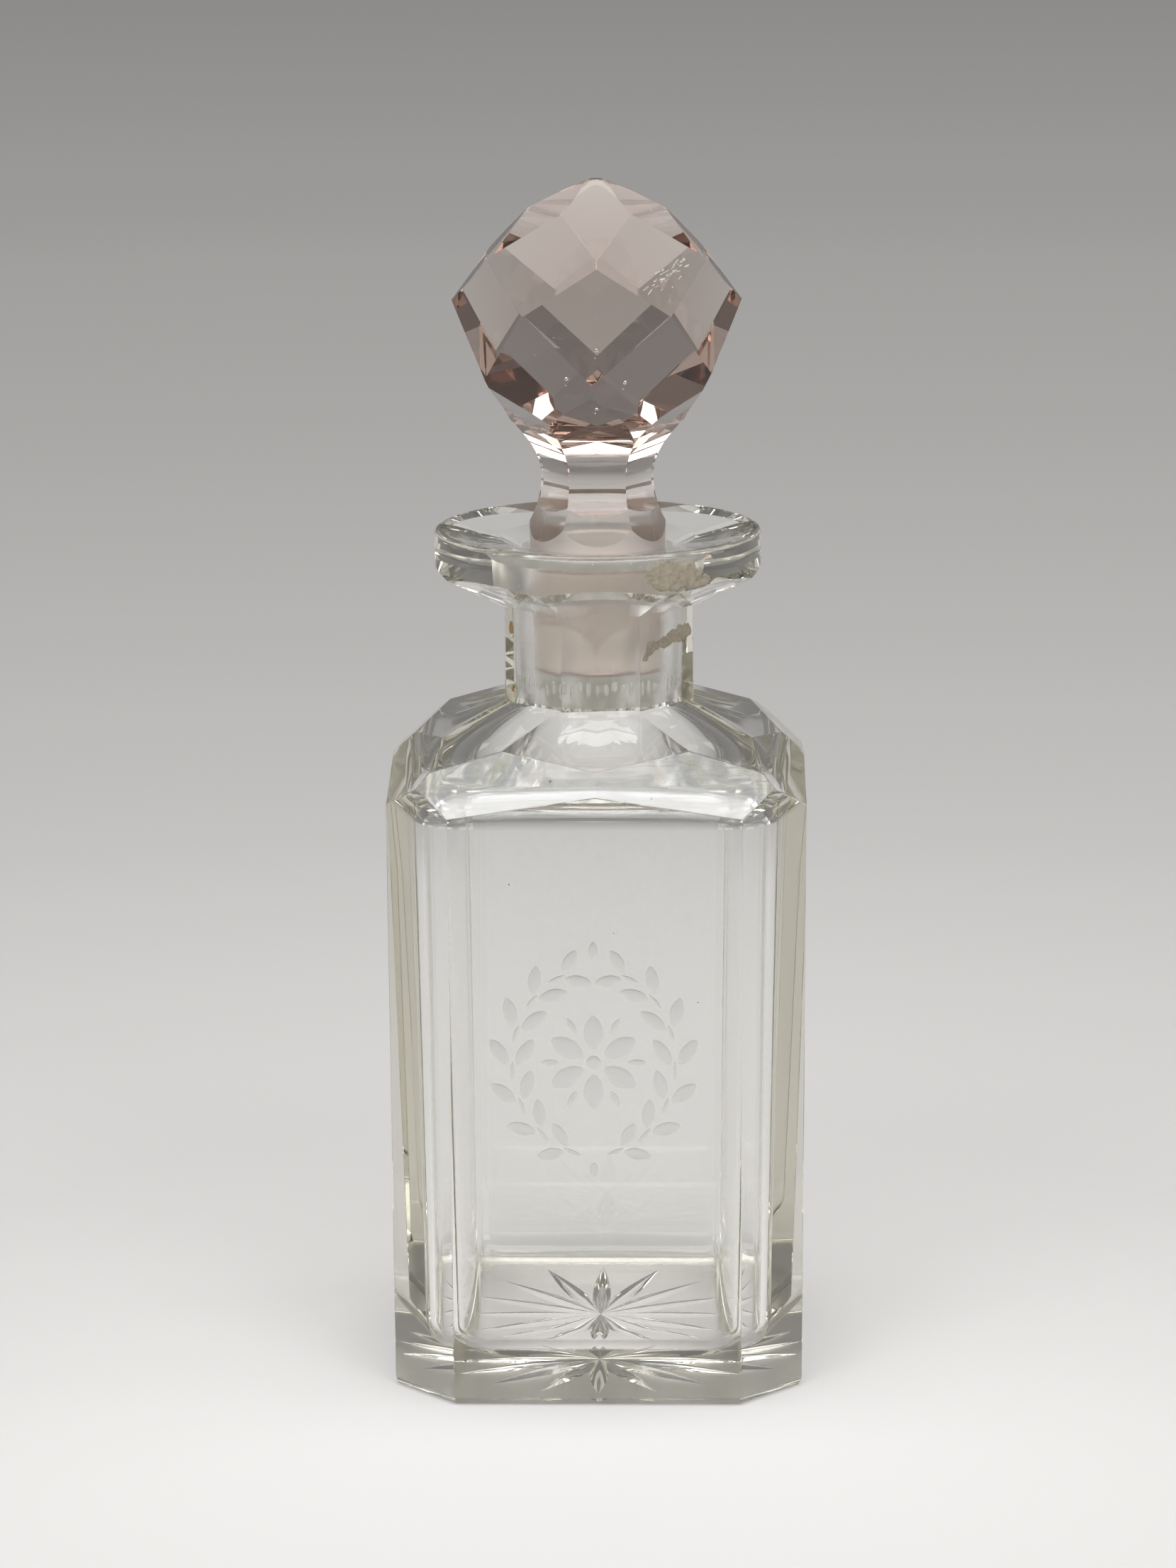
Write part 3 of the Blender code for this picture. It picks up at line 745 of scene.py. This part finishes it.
def rubbed(c, n):
    """The low ends of the flutes, dulled by years in the ground joint."""
    if on_plug(c, n) or c.z < THROAT_Z or math.hypot(c.x, c.y) < 2.0 * MM:
        return 0.0
    above = (c.z - MOUTH_Z) / MM
    return 0.75 * max(0.0, min(1.0, (5.2 - above) / 2.6))


bottle = build_body()
tools = [build_neck(), build_lip(), build_hollow(), build_star()]
combine(bottle, tools[0], 'UNION')
combine(bottle, tools[1], 'UNION')
combine(bottle, tools[2], 'DIFFERENCE')
combine(bottle, tools[3], 'DIFFERENCE')
bake_shape(bottle, tools)
rule_front(bottle)
spray = build_spray()
combine(bottle, spray, 'DIFFERENCE')
bake_shape(bottle, [spray])
mark(bottle, "ground", in_bore)
mark(bottle, "worn", under_foot)
mark(bottle, "etched", in_spray)
mark(bottle, "scuffed", scuffed)

stopper = build_ball()
tools = [build_plug(), build_flutes(), build_tip()]
combine(stopper, tools[0], 'UNION')
combine(stopper, tools[1], 'INTERSECT')
combine(stopper, tools[2], 'INTERSECT')
bake_shape(stopper, tools)
mark(stopper, "ground", on_plug)
mark(stopper, "scuffed", rubbed)


def add_bubble(ob, centre, size):
    """A closed pocket of air inside the glass, its faces towards the air."""
    bm = bmesh.new()
    bm.from_mesh(ob.data)
    made = bmesh.ops.create_icosphere(bm, subdivisions=3, radius=1.0)
    place = (Matrix.Translation(Vector(centre))
             @ Matrix.Diagonal((size[0], size[0], size[1], 1.0)))
    bmesh.ops.transform(bm, matrix=place, verts=made["verts"])
    shell = {f for v in made["verts"] for f in v.link_faces}
    bmesh.ops.reverse_faces(bm, faces=list(shell))
    for f in shell:
        f.smooth = True
    bm.to_mesh(ob.data)
    bm.free()


for centre, size in BUBBLES:
    add_bubble(stopper, centre, size)


# ==========================================================================
# materials
# ==========================================================================
class Nodes:
    """Short hand for building a node tree."""

    def __init__(self, name):
        self.mat = bpy.data.materials.new(name)
        self.mat.use_nodes = True
        self.tree = self.mat.node_tree
        self.bsdf = self.tree.nodes["Principled BSDF"]
        self.out = self.tree.nodes["Material Output"]

    def add(self, kind, **props):
        node = self.tree.nodes.new(kind)
        for key, value in props.items():
            if isinstance(value, bpy.types.NodeSocket):
                self.tree.links.new(value, node.inputs[key])
            elif hasattr(node, key) and key.islower():
                setattr(node, key, value)
            else:
                node.inputs[key].default_value = value
        return node

    def link(self, a, b):
        self.tree.links.new(a, b)

    def math(self, op, a, b=None, clamp=False):
        node = self.tree.nodes.new("ShaderNodeMath")
        node.operation = op
        node.use_clamp = clamp
        for i, v in enumerate((a, b)):
            if v is None:
                continue
            if isinstance(v, bpy.types.NodeSocket):
                self.tree.links.new(v, node.inputs[i])
            else:
                node.inputs[i].default_value = v
        return node.outputs[0]

    def ramp(self, source, stops):
        node = self.tree.nodes.new("ShaderNodeValToRGB")
        self.tree.links.new(source, node.inputs[0])
        e = node.color_ramp.elements
        while len(e) < len(stops):
            e.new(0.5)
        for item, (pos, col) in zip(e, stops):
            item.position = pos
            item.color = (col, col, col, 1.0) if isinstance(col, float) \
                else (*col, 1.0)
        return node.outputs[0]


def glass_material(name, tint, density, ground_rough, ior=1.52):
    m = Nodes(name)
    b = m.bsdf
    b.inputs["Base Color"].default_value = (1.0, 1.0, 1.0, 1.0)
    b.inputs["Transmission Weight"].default_value = 1.0
    b.inputs["IOR"].default_value = ior
    where = m.add("ShaderNodeTexCoord").outputs["Object"]

    def finish(word):
        return m.add("ShaderNodeAttribute", attribute_name=word) \
            .outputs["Fac"]

    def mottle(scale, stretch, low, high):
        spread = m.add("ShaderNodeMapping", Vector=where)
        spread.inputs["Scale"].default_value = stretch
        fine = m.add("ShaderNodeTexNoise", Vector=spread.outputs[0],
                     Scale=scale, Detail=6.0)
        return m.ramp(fine.outputs[0], ((0.42, low), (0.62, high)))

    def times(a, b):
        return m.math('MULTIPLY', a, b)

    def plus(a, b):
        return m.math('ADD', a, b)

    smear = mottle(160.0, (1.0, 1.0, 1.0), 0.0, 0.02)
    rub = mottle(900.0, (0.13, 1.0, 2.6), 0.11, 0.265)
    ground = mottle(520.0, (1.0, 1.0, 0.6), 0.82, 1.0)
    rough = plus(smear, times(times(finish("ground"), ground), ground_rough))
    rough = plus(rough, times(finish("worn"), 0.28))
    rough = plus(rough, times(finish("etched"), 0.46))
    rough = plus(rough, times(finish("scuffed"), rub))
    m.link(rough, b.inputs["Roughness"])
    vol = m.add("ShaderNodeVolumeAbsorption")
    vol.inputs["Color"].default_value = (*tint, 1.0)
    vol.inputs["Density"].default_value = density
    m.link(vol.outputs[0], m.out.inputs["Volume"])
    return m.mat


def dirt_material(name, dark, pale, scale):
    m = Nodes(name)
    where = m.add("ShaderNodeTexCoord").outputs["Object"]
    grain = m.add("ShaderNodeTexNoise", Vector=where, Scale=scale,
                  Detail=8.0, Roughness=0.7)
    tone = m.ramp(grain.outputs[0], ((0.3, dark), (0.62, pale)))
    m.link(tone, m.bsdf.inputs["Base Color"])
    m.bsdf.inputs["Roughness"].default_value = 0.92
    m.bsdf.inputs["Specular IOR Level"].default_value = 0.2
    return m.mat


bottle.data.materials.append(
    glass_material("bottle_glass", (0.866, 0.858, 0.815), 40.0, 0.365))
stopper.data.materials.append(
    glass_material("stopper_glass", (0.775, 0.672, 0.618), 40.0, 0.46))


# ==========================================================================
# dried residue, smears and grains that lie on the glass
# ==========================================================================
LIFT = 0.004 * MM


def surface_of(ob):
    return BVHTree.FromPolygons([v.co for v in ob.data.vertices],
                                [p.vertices for p in ob.data.polygons])


def rest_on(tree, point, outward):
    """Foot of a point on the glass, looking back along outward."""
    out = outward.normalized()
    hit, normal, index, away = tree.ray_cast(point + out * 2.0 * MM, -out,
                                             5.0 * MM)
    if hit is None:
        hit, normal, index, away = tree.find_nearest(point)
    return hit, (normal if normal.dot(out) > 0.0 else -normal)


def crust(bm, tree, path, thick, seed, ragged=0.3, across=12, along=44):
    """A closed flake with a ragged edge that follows a path on the glass.

    path is a list of (point, outward direction, half width).
    """
    tops, feet = [], []
    knots = len(path) - 1
    for i in range(along + 1):
        s = i / along
        at = min(int(s * knots), knots - 1)
        f = s * knots - at
        (p, n, w), (q, m, v) = path[at], path[at + 1]
        centre, outward = p.lerp(q, f), n.lerp(m, f).normalized()
        side = outward.cross((q - p).normalized()).normalized()
        end = max(0.02, 1.0 - abs(2.0 * s - 1.0) ** 5) ** 0.5
        half = (w + (v - w) * f) * end
        top, foot = [], []
        for j in range(across + 1):
            u = -1.0 + 2.0 * j / across
            edge = 1.0 + ragged * noise.noise(
                Vector((s * 9.0 + seed, 3.1 * math.copysign(1.0, u), seed)))
            edge += 0.5 * ragged * noise.noise(
                Vector((s * 31.0 + seed, 7.7 * math.copysign(1.0, u), 0.0)))
            shift = ragged * half * 0.5 * noise.noise(
                Vector((s * 5.0, seed, 1.7)))
            hit, up = rest_on(tree, centre + side * (u * half * edge + shift),
                              outward)
            grain = 0.7 + 0.5 * noise.noise(hit * 2600.0)
            swell = max(0.0, 1.0 - max(abs(u), abs(2.0 * s - 1.0)) ** 8)
            foot.append(hit + up * LIFT)
            top.append(hit + up * (LIFT + thick * (0.12 + 0.88 * swell)
                                   * grain))
        tops.append(top)
        feet.append(foot)
    upper = [[bm.verts.new(p) for p in row] for row in tops]
    lower = [[bm.verts.new(p) for p in row] for row in feet]
    for a, b in zip(range(along), range(1, along + 1)):
        for j in range(across):
            bm.faces.new((upper[a][j], upper[b][j],
                          upper[b][j + 1], upper[a][j + 1]))
            bm.faces.new((lower[a][j], lower[a][j + 1],
                          lower[b][j + 1], lower[b][j]))
        for j in (0, across):
            bm.faces.new((upper[a][j], lower[a][j], lower[b][j],
                          upper[b][j]))
    for row_up, row_low in ((upper[0], lower[0]), (upper[-1], lower[-1])):
        for j in range(across):
            bm.faces.new((row_up[j], row_up[j + 1], row_low[j + 1],
                          row_low[j]))


def grain_on(bm, tree, point, outward, size, seed):
    """One small flattened grain lying on the glass."""
    hit, up = rest_on(tree, point, outward)
    made = bmesh.ops.create_icosphere(bm, subdivisions=1, radius=1.0)
    turn = up.to_track_quat('Z', 'Y').to_matrix().to_4x4()
    for v in made["verts"]:
        v.co *= 1.0 + 0.3 * noise.noise(v.co * 2.0 + Vector((seed, 0, 0)))
    place = (Matrix.Translation(hit + up * size * 0.3) @ turn
             @ Matrix.Rotation(seed, 4, 'Z')
             @ Matrix.Diagonal((size, size * 0.7, size * 0.3, 1.0)))
    bmesh.ops.transform(bm, matrix=place, verts=made["verts"])


def lay(name, bm, material, carrier):
    ob = add_object(name, bm)
    for p in ob.data.polygons:
        p.use_smooth = True
    ob.data.materials.append(material)
    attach(ob, carrier)
    return ob


def on_lip(azimuth, z, radius=LIP_RADIUS):
    a = math.radians(azimuth)
    out = Vector((math.sin(a), -math.cos(a), 0.0))
    return out * radius + Vector((0.0, 0.0, z)), out


bottle_skin = surface_of(bottle)
stopper_skin = surface_of(stopper)
tan_crust = dirt_material("tan_crust", (0.195, 0.168, 0.127),
                          (0.315, 0.278, 0.216), 1500.0)
pale_film = dirt_material("pale_film", (0.40, 0.36, 0.31),
                          (0.66, 0.63, 0.58), 1400.0)
dull_film = dirt_material("dull_film", (0.22, 0.19, 0.16),
                          (0.50, 0.47, 0.42), 1400.0)
rust_grain = dirt_material("rust_grain", (0.10, 0.05, 0.03),
                           (0.33, 0.20, 0.10), 700.0)

bm = bmesh.new()
lip_path = []
for azimuth, z, half in ((17.5, 102.85, 1.45), (22.0, 102.8, 1.75),
                         (27.0, 102.9, 1.75), (31.5, 102.75, 1.85),
                         (35.5, 102.2, 1.75), (39.5, 101.7, 1.15),
                         (43.5, 101.9, 0.75)):
    spot, out = on_lip(azimuth, z * MM)
    lip_path.append((spot, out, half * MM))
crust(bm, bottle_skin, lip_path, 0.16 * MM, 2.3, 0.36, 20, 60)
lay("crust_lip", bm, tan_crust, "bottle")

bm = bmesh.new()
neck_out = Vector((0.72, -0.66, 0.2)).normalized()
neck_path = [(Vector(p) * MM, neck_out, half * MM) for p, half in (
    ((5.7, -11.1, 90.9), 0.40), ((6.4, -10.2, 91.9), 0.80),
    ((7.7, -8.8, 92.6), 0.55), ((9.2, -7.1, 92.9), 0.80),
    ((10.5, -5.7, 93.4), 1.15), ((11.6, -4.6, 93.3), 0.95))]
crust(bm, bottle_skin, neck_path, 0.10 * MM, 5.1, 0.75, 14, 60)
lay("crust_neck", bm, tan_crust, "bottle")

bm = bmesh.new()
for p, length, half in (((-10.59, -6.11, 94.1), 1.6, 0.34),
                        ((-10.39, -6.3, 86.5), 0.9, 0.22)):
    mid = Vector(p) * MM
    up = Vector((0.0, 0.0, length * 0.5 * MM))
    out = Vector((-0.86, -0.5, 0.0)).normalized()
    crust(bm, bottle_skin, [(mid - up, out, half * MM), (mid, out, half * MM),
                            (mid + up, out, half * MM * 0.6)],
          0.05 * MM, p[2], 0.6, 8, 20)
for x, z, size in ((-5.89, 81.76, 0.19), (-10.4, 66.35, 0.13),
                   (6.81, 76.8, 0.12), (12.4, 51.6, 0.11),
                   (2.2, 60.3, 0.09)):
    grain_on(bm, bottle_skin, Vector((x * MM, -26.0 * MM, z * MM)),
             Vector((0.0, -1.0, 0.0)), size * MM, x)
lay("stains", bm, rust_grain, "bottle")

rng = random.Random(41)
bm = bmesh.new()
for k in range(34):
    x, z = rng.uniform(-17.0, 17.0), rng.uniform(5.0, 76.0)
    grain_on(bm, bottle_skin, Vector((x * MM, -26.0 * MM, z * MM)),
             Vector((0.0, -1.0, 0.0)), rng.uniform(0.035, 0.085) * MM,
             k * 0.7)
for k in range(22):
    azimuth, z = rng.uniform(-70.0, 70.0), rng.uniform(101.0, 104.8)
    spot, out = on_lip(azimuth, z * MM)
    grain_on(bm, bottle_skin, spot, out, rng.uniform(0.03, 0.07) * MM, k)
lay("dust_bottle", bm, pale_film, "bottle")

bm = bmesh.new()
for k in range(26):
    x, z = rng.uniform(-12.0, 12.0), rng.uniform(118.0, 146.0)
    grain_on(bm, stopper_skin, Vector((x * MM, -14.0 * MM, z * MM)),
             Vector((0.0, -1.0, 0.0)), rng.uniform(0.03, 0.07) * MM,
             k * 1.3)
smear_out = Vector((0.393, -0.653, 0.647)).normalized()
smear_way = Vector((6.6, 7.35, 3.41)).normalized()
for k in range(44):
    f, g = rng.uniform(-1.0, 1.0), rng.gauss(0.0, 0.5)
    mid = (Vector((8.5, -11.6, 138.1)) * MM + smear_way * (f * 4.2 * MM)
           + smear_out.cross(smear_way) * (g * 1.1 * MM))
    way = (smear_way + Vector((rng.uniform(-0.4, 0.4),
                               rng.uniform(-0.3, 0.3),
                               rng.uniform(-0.4, 0.4)))).normalized()
    reach = rng.uniform(0.12, 0.60) * MM
    half = rng.uniform(0.02, 0.10) * MM
    crust(bm, stopper_skin, [(mid - way * reach, smear_out, half),
                             (mid + way * reach, smear_out, half)],
          0.02 * MM, 3.0 + k, 0.7, 4, 10)
crown_out = Vector((0.463, -0.257, 0.848)).normalized()
crown_way = Vector((3.46, -2.67, -2.69)).normalized()
for k in range(16):
    f, g = rng.uniform(-1.0, 1.0), rng.gauss(0.0, 0.5)
    mid = (Vector((7.3, -3.7, 144.2)) * MM + crown_way * (f * 2.4 * MM)
           + crown_out.cross(crown_way) * (g * 0.9 * MM))
    reach = rng.uniform(0.08, 0.35) * MM
    half = rng.uniform(0.02, 0.06) * MM
    crust(bm, stopper_skin, [(mid - crown_way * reach, crown_out, half),
                             (mid + crown_way * reach, crown_out, half)],
          0.015 * MM, 40.0 + k, 0.7, 4, 10)
nick = Vector((0.0, -1.0, 0.3)).normalized()
crust(bm, stopper_skin, [(Vector((0.24, -14.4, 140.3)) * MM, nick, 0.05 * MM),
                         (Vector((0.26, -15.1, 139.5)) * MM, nick,
                          0.07 * MM)], 0.02 * MM, 71.0, 0.3, 4, 12)
lay("smears_stopper", bm, dull_film, "stopper")


def build_joint_residue():
    """Dried film held between the ground plug and its ground bore."""
    sides, steps = 120, 40
    low, high = PLUG_FOOT_Z + 0.9 * MM, THROAT_Z - 0.5 * MM
    bm = bmesh.new()
    rings = []
    for inner in (False, True):
        for i in range(steps + 1):
            f = (steps - i if inner else i) / steps
            ring = []
            for j in range(sides):
                a = 2.0 * math.pi * j / sides
                way = Vector((math.cos(a), math.sin(a), 0.0))
                ragged = noise.noise(way * 2.3 + Vector((5.0, 1.0, 2.0)))
                z = low + (high - low) * f + ragged * 0.25 * MM
                lift = 0.02 * MM if inner else (
                    0.06 + 0.02 * noise.noise(Vector((way.x * 9.0,
                                                      way.y * 9.0,
                                                      z * 900.0)))) * MM
                ring.append(bm.verts.new(way * (plug_radius(z) + lift)
                                         + Vector((0.0, 0.0, z))))
            rings.append(ring)
    for a, b in zip(rings, rings[1:] + rings[:1]):
        for j in range(sides):
            k = (j + 1) % sides
            bm.faces.new((a[j], a[k], b[k], b[j]))
    return bm


def joint_material():
    m = Nodes("joint_film")
    where = m.add("ShaderNodeTexCoord").outputs["Object"]

    # a paler patch of painted light, where caustics through the stem fall on
    # the ground joint
    def painted_light_patch(x, z, half_x, half_z):
        place = m.add("ShaderNodeMapping", Vector=where)
        place.inputs["Scale"].default_value = (1.0 / half_x, 0.0,
                                               1.0 / half_z)
        place.inputs["Location"].default_value = (-x / half_x, 0.0,
                                                  -z / half_z)
        away = m.add("ShaderNodeVectorMath", operation='LENGTH')
        m.link(place.outputs[0], away.inputs[0])
        return m.ramp(away.outputs["Value"], ((0.90, 1.0), (1.0, 0.0)))

    # two patches of painted light make the film paler left and right of the
    # front
    painted_light_pair = m.math('MAXIMUM', painted_light_patch(-4.6 * MM, 90.2 * MM, 4.6 * MM, 4.6 * MM),
                  painted_light_patch(4.0 * MM, 90.6 * MM, 4.2 * MM, 4.0 * MM))
    grain = m.add("ShaderNodeTexNoise", Vector=where, Scale=1500.0,
                  Detail=7.0, Roughness=0.65)
    tone = m.math('ADD', m.math('MULTIPLY', painted_light_pair, 0.5),
                  m.math('MULTIPLY', grain.outputs[0], 0.5))
    m.link(m.ramp(tone, ((0.12, (0.80, 0.68, 0.58)),
                         (0.78, (0.99, 0.90, 0.80)))),
           m.bsdf.inputs["Base Color"])
    m.bsdf.inputs["Roughness"].default_value = 0.85
    m.bsdf.inputs["Alpha"].default_value = 0.48
    return m.mat


lay("joint_residue", build_joint_residue(), joint_material(), "stopper")


def build_bore_runs():
    """Pale runs that dried on the bore below the plug."""
    slots, levels, across = 46, 6, 3
    pitch = 2.0 * math.pi / slots
    chance = random.Random(23)
    bm = bmesh.new()
    for k in range(slots):
        mid = (k + chance.uniform(0.45, 0.55)) * pitch
        wide = chance.uniform(0.16, 0.42) * pitch
        top = PLUG_FOOT_Z - chance.uniform(0.15, 0.7) * MM
        low = BORE_FOOT_Z + chance.uniform(-0.2, 1.1) * MM
        walls = []
        for lift in (0.012, 0.042):
            rows = []
            for i in range(levels + 1):
                f = i / levels
                z = low + (top - low) * f
                half = wide * (0.45 + 0.55 * math.sin(math.pi * f) ** 0.5)                     if 0 < i < levels else wide * 0.45
                row = []
                for j in range(across + 1):
                    a = mid + half * (2.0 * j / across - 1.0)
                    r = plug_radius(z) + JOINT_GAP - lift * MM
                    row.append(bm.verts.new((r * math.cos(a),
                                             r * math.sin(a), z)))
                rows.append(row)
            walls.append(rows)
        near, far = walls
        for i in range(levels):
            for j in range(across):
                bm.faces.new((near[i][j], near[i][j + 1],
                              near[i + 1][j + 1], near[i + 1][j]))
                bm.faces.new((far[i][j], far[i + 1][j],
                              far[i + 1][j + 1], far[i][j + 1]))
            bm.faces.new((near[i][0], near[i + 1][0], far[i + 1][0],
                          far[i][0]))
            bm.faces.new((near[i][-1], far[i][-1], far[i + 1][-1],
                          near[i + 1][-1]))
        for j in range(across):
            bm.faces.new((near[0][j], far[0][j], far[0][j + 1],
                          near[0][j + 1]))
            bm.faces.new((near[-1][j], near[-1][j + 1], far[-1][j + 1],
                          far[-1][j]))
    return bm


pale_run = dirt_material("pale_run", (0.66, 0.65, 0.57),
                         (0.88, 0.87, 0.79), 1400.0)
lay("bore_runs", build_bore_runs(), pale_run, "bottle")


# ==========================================================================
# frame
# ==========================================================================
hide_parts("bottle")
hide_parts("stopper")
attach(bottle, "bottle")
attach(stopper, "stopper")

# ==========================================================================
# camera
# ==========================================================================
IMAGE_WIDTH = 1659.0
FOCAL_PIXELS = 7427.73
CAMERA_DISTANCE = 641.69 * MM
CAMERA_HEIGHT = 221.84 * MM
CAMERA_PITCH = 0.2281
CAMERA_YAW = 0.0021
CAMERA_ROLL = -0.0049
CAMERA_AZIMUTH = -0.0192

cam_data = bpy.data.cameras.new("camera")
cam_data.sensor_fit = 'HORIZONTAL'
cam_data.sensor_width = 36.0
cam_data.lens = FOCAL_PIXELS / IMAGE_WIDTH * 36.0
cam_data.clip_start = 0.01
cam_data.clip_end = 50.0
camera = bpy.data.objects.new("camera", cam_data)
bpy.context.scene.collection.objects.link(camera)
swing = Matrix.Rotation(-CAMERA_AZIMUTH, 4, 'Z')
aim = (swing @ Matrix.Rotation(CAMERA_YAW, 4, 'Z')
       @ Matrix.Rotation(math.pi / 2.0 - CAMERA_PITCH, 4, 'X')
       @ Matrix.Rotation(CAMERA_ROLL, 4, 'Z'))
place = swing @ Vector((0.0, -CAMERA_DISTANCE, CAMERA_HEIGHT))
camera.matrix_world = Matrix.Translation(place) @ aim
bpy.context.scene.camera = camera

# ==========================================================================
# stage: one pale sheet that curves up all round, far from the bottle; its
# colour and glow are painted light
# ==========================================================================
FLOOR_DROP = 0.15 * MM
SWEEP_FLAT = 1.35
SWEEP_CURVE = 0.9
SWEEP_TOP = 2.4
SWEEP_CENTRE_Y = -0.15


def build_sweep():
    profile = []
    for i in range(41):
        profile.append((0.002 + (SWEEP_FLAT - 0.002) * (i / 40.0) ** 1.6, 0.0))
    for i in range(1, 25):
        t = math.pi / 2.0 * i / 24.0
        profile.append((SWEEP_FLAT + SWEEP_CURVE * math.sin(t),
                        SWEEP_CURVE * (1.0 - math.cos(t))))
    profile.append((SWEEP_FLAT + SWEEP_CURVE, SWEEP_TOP))
    sides = 96
    bm = bmesh.new()
    centre = bm.verts.new((0.0, 0.0, -FLOOR_DROP))
    last = None
    for r, z in profile:
        ring = [bm.verts.new((r * math.cos(2.0 * math.pi * i / sides),
                              r * math.sin(2.0 * math.pi * i / sides),
                              z - FLOOR_DROP)) for i in range(sides)]
        for i in range(sides):
            j = (i + 1) % sides
            if last is None:
                f = bm.faces.new((centre, ring[i], ring[j]))
            else:
                f = bm.faces.new((last[i], ring[i], ring[j], last[j]))
            f.smooth = True
        last = ring
    mesh = bpy.data.meshes.new("sweep")
    bm.to_mesh(mesh)
    bm.free()
    ob = bpy.data.objects.new("sweep", mesh)
    ob.location = (0.0, SWEEP_CENTRE_Y, 0.0)
    bpy.context.scene.collection.objects.link(ob)
    return ob


sweep = build_sweep()
sheet = Nodes("paper")
sheet.bsdf.inputs["Roughness"].default_value = 0.9
sheet.bsdf.inputs["Specular IOR Level"].default_value = 0.1
spot = sheet.add("ShaderNodeTexCoord").outputs["Object"]
reach = sheet.add("ShaderNodeVectorMath", operation='LENGTH')
sheet.link(spot, reach.inputs[0])
PAPER_REACH = 2.5
# painted light falloff: the paper's colour and glow darken outwards from the
# sweep's centre
PAPER_PAINTED_FALLOFF = ((0, 0.442), (0.048, 0.439), (0.08, 0.386), (0.12, 0.365),
                (0.168, 0.320), (0.224, 0.295), (0.3, 0.278), (0.4, 0.274),
                (0.5, 0.283), (0.6, 0.258), (0.7, 0.197), (0.84, 0.184))
PAPER_WARMTH = (1.03, 1.0, 0.98)
painted_falloff = sheet.ramp(sheet.math('DIVIDE', reach.outputs["Value"], PAPER_REACH),
                  tuple((at, tuple(c * w for w in PAPER_WARMTH))
                        for at, c in PAPER_PAINTED_FALLOFF))
painted_falloff.node.color_ramp.interpolation = 'CARDINAL'
sheet.link(painted_falloff, sheet.bsdf.inputs["Base Color"])
# the paper glows with this painted light, though it is no lamp
sheet.link(painted_falloff, sheet.bsdf.inputs["Emission Color"])
# painted pool of light: the paper glows brightest under and round the bottle
beside = sheet.add("ShaderNodeVectorMath", operation='DISTANCE')
sheet.link(spot, beside.inputs[0])
beside.inputs[1].default_value = (0.0, -SWEEP_CENTRE_Y, 0.0)
painted_light_pool = sheet.ramp(sheet.math('DIVIDE', beside.outputs["Value"], 0.1),
                  ((0.0, 1.6), (0.14, 1.45), (0.23, 0.52), (0.36, 0.62),
                   (0.6, 0.55), (1.0, 0.45)))
sheet.link(painted_light_pool, sheet.bsdf.inputs["Emission Strength"])
sweep.data.materials.append(sheet.mat)

# ==========================================================================
# light: a soft room, a large box high in front, one overhead, low side boxes
# ==========================================================================
world = bpy.data.worlds.new("studio")
world.use_nodes = True
bpy.context.scene.world = world
sky = world.node_tree.nodes["Background"]
sky.inputs[0].default_value = (1.0, 0.99, 0.975, 1.0)
sky.inputs[1].default_value = 0.28


def softbox(name, azimuth, elevation, distance, size, radiance,
            colour=(1.0, 1.0, 1.0)):
    """A box facing the bottle; azimuth 0 is in front, 90 on the right."""
    a, e = math.radians(azimuth), math.radians(elevation)
    target = Vector((0.0, 0.0, 0.07))
    place = target + distance * Vector((math.cos(e) * math.sin(a),
                                        -math.cos(e) * math.cos(a),
                                        math.sin(e)))
    data = bpy.data.lights.new(name, 'AREA')
    data.shape = 'RECTANGLE'
    data.size, data.size_y = size
    data.energy = 4.0 * size[0] * size[1] * radiance
    data.color = colour
    ob = bpy.data.objects.new(name, data)
    bpy.context.scene.collection.objects.link(ob)
    ob.location = place
    ob.rotation_euler = (target - place).to_track_quat('-Z', 'Y').to_euler()
    ob.visible_camera = False
    return ob


softbox("overhead", 0.0, 72.0, 1.5, (1.65, 1.55), 2.7, (0.97, 1.0, 1.01))
softbox("zenith", 0.0, 84.0, 1.4, (0.75, 0.75), 1.8, (0.97, 1.0, 1.02))
softbox("right_front", 34.0, 10.0, 1.5, (0.80, 0.60), 2.7)
softbox("right", 92.0, 15.0, 1.5, (0.80, 0.75), 1.9)
softbox("left", 272.0, 8.0, 1.5, (0.75, 0.50), 2.0)
softbox("left_front", 326.0, 13.0, 1.5, (0.75, 0.65), 2.5)
softbox("rear", 180.0, 53.0, 1.6, (1.10, 0.45), 0.9, (1.0, 0.94, 0.78))

scene = bpy.context.scene
scene.view_settings.view_transform = 'Standard'
scene.cycles.max_bounces = 32
scene.cycles.transmission_bounces = 32
scene.cycles.glossy_bounces = 24
scene.cycles.diffuse_bounces = 4

bpy.context.view_layer.update()
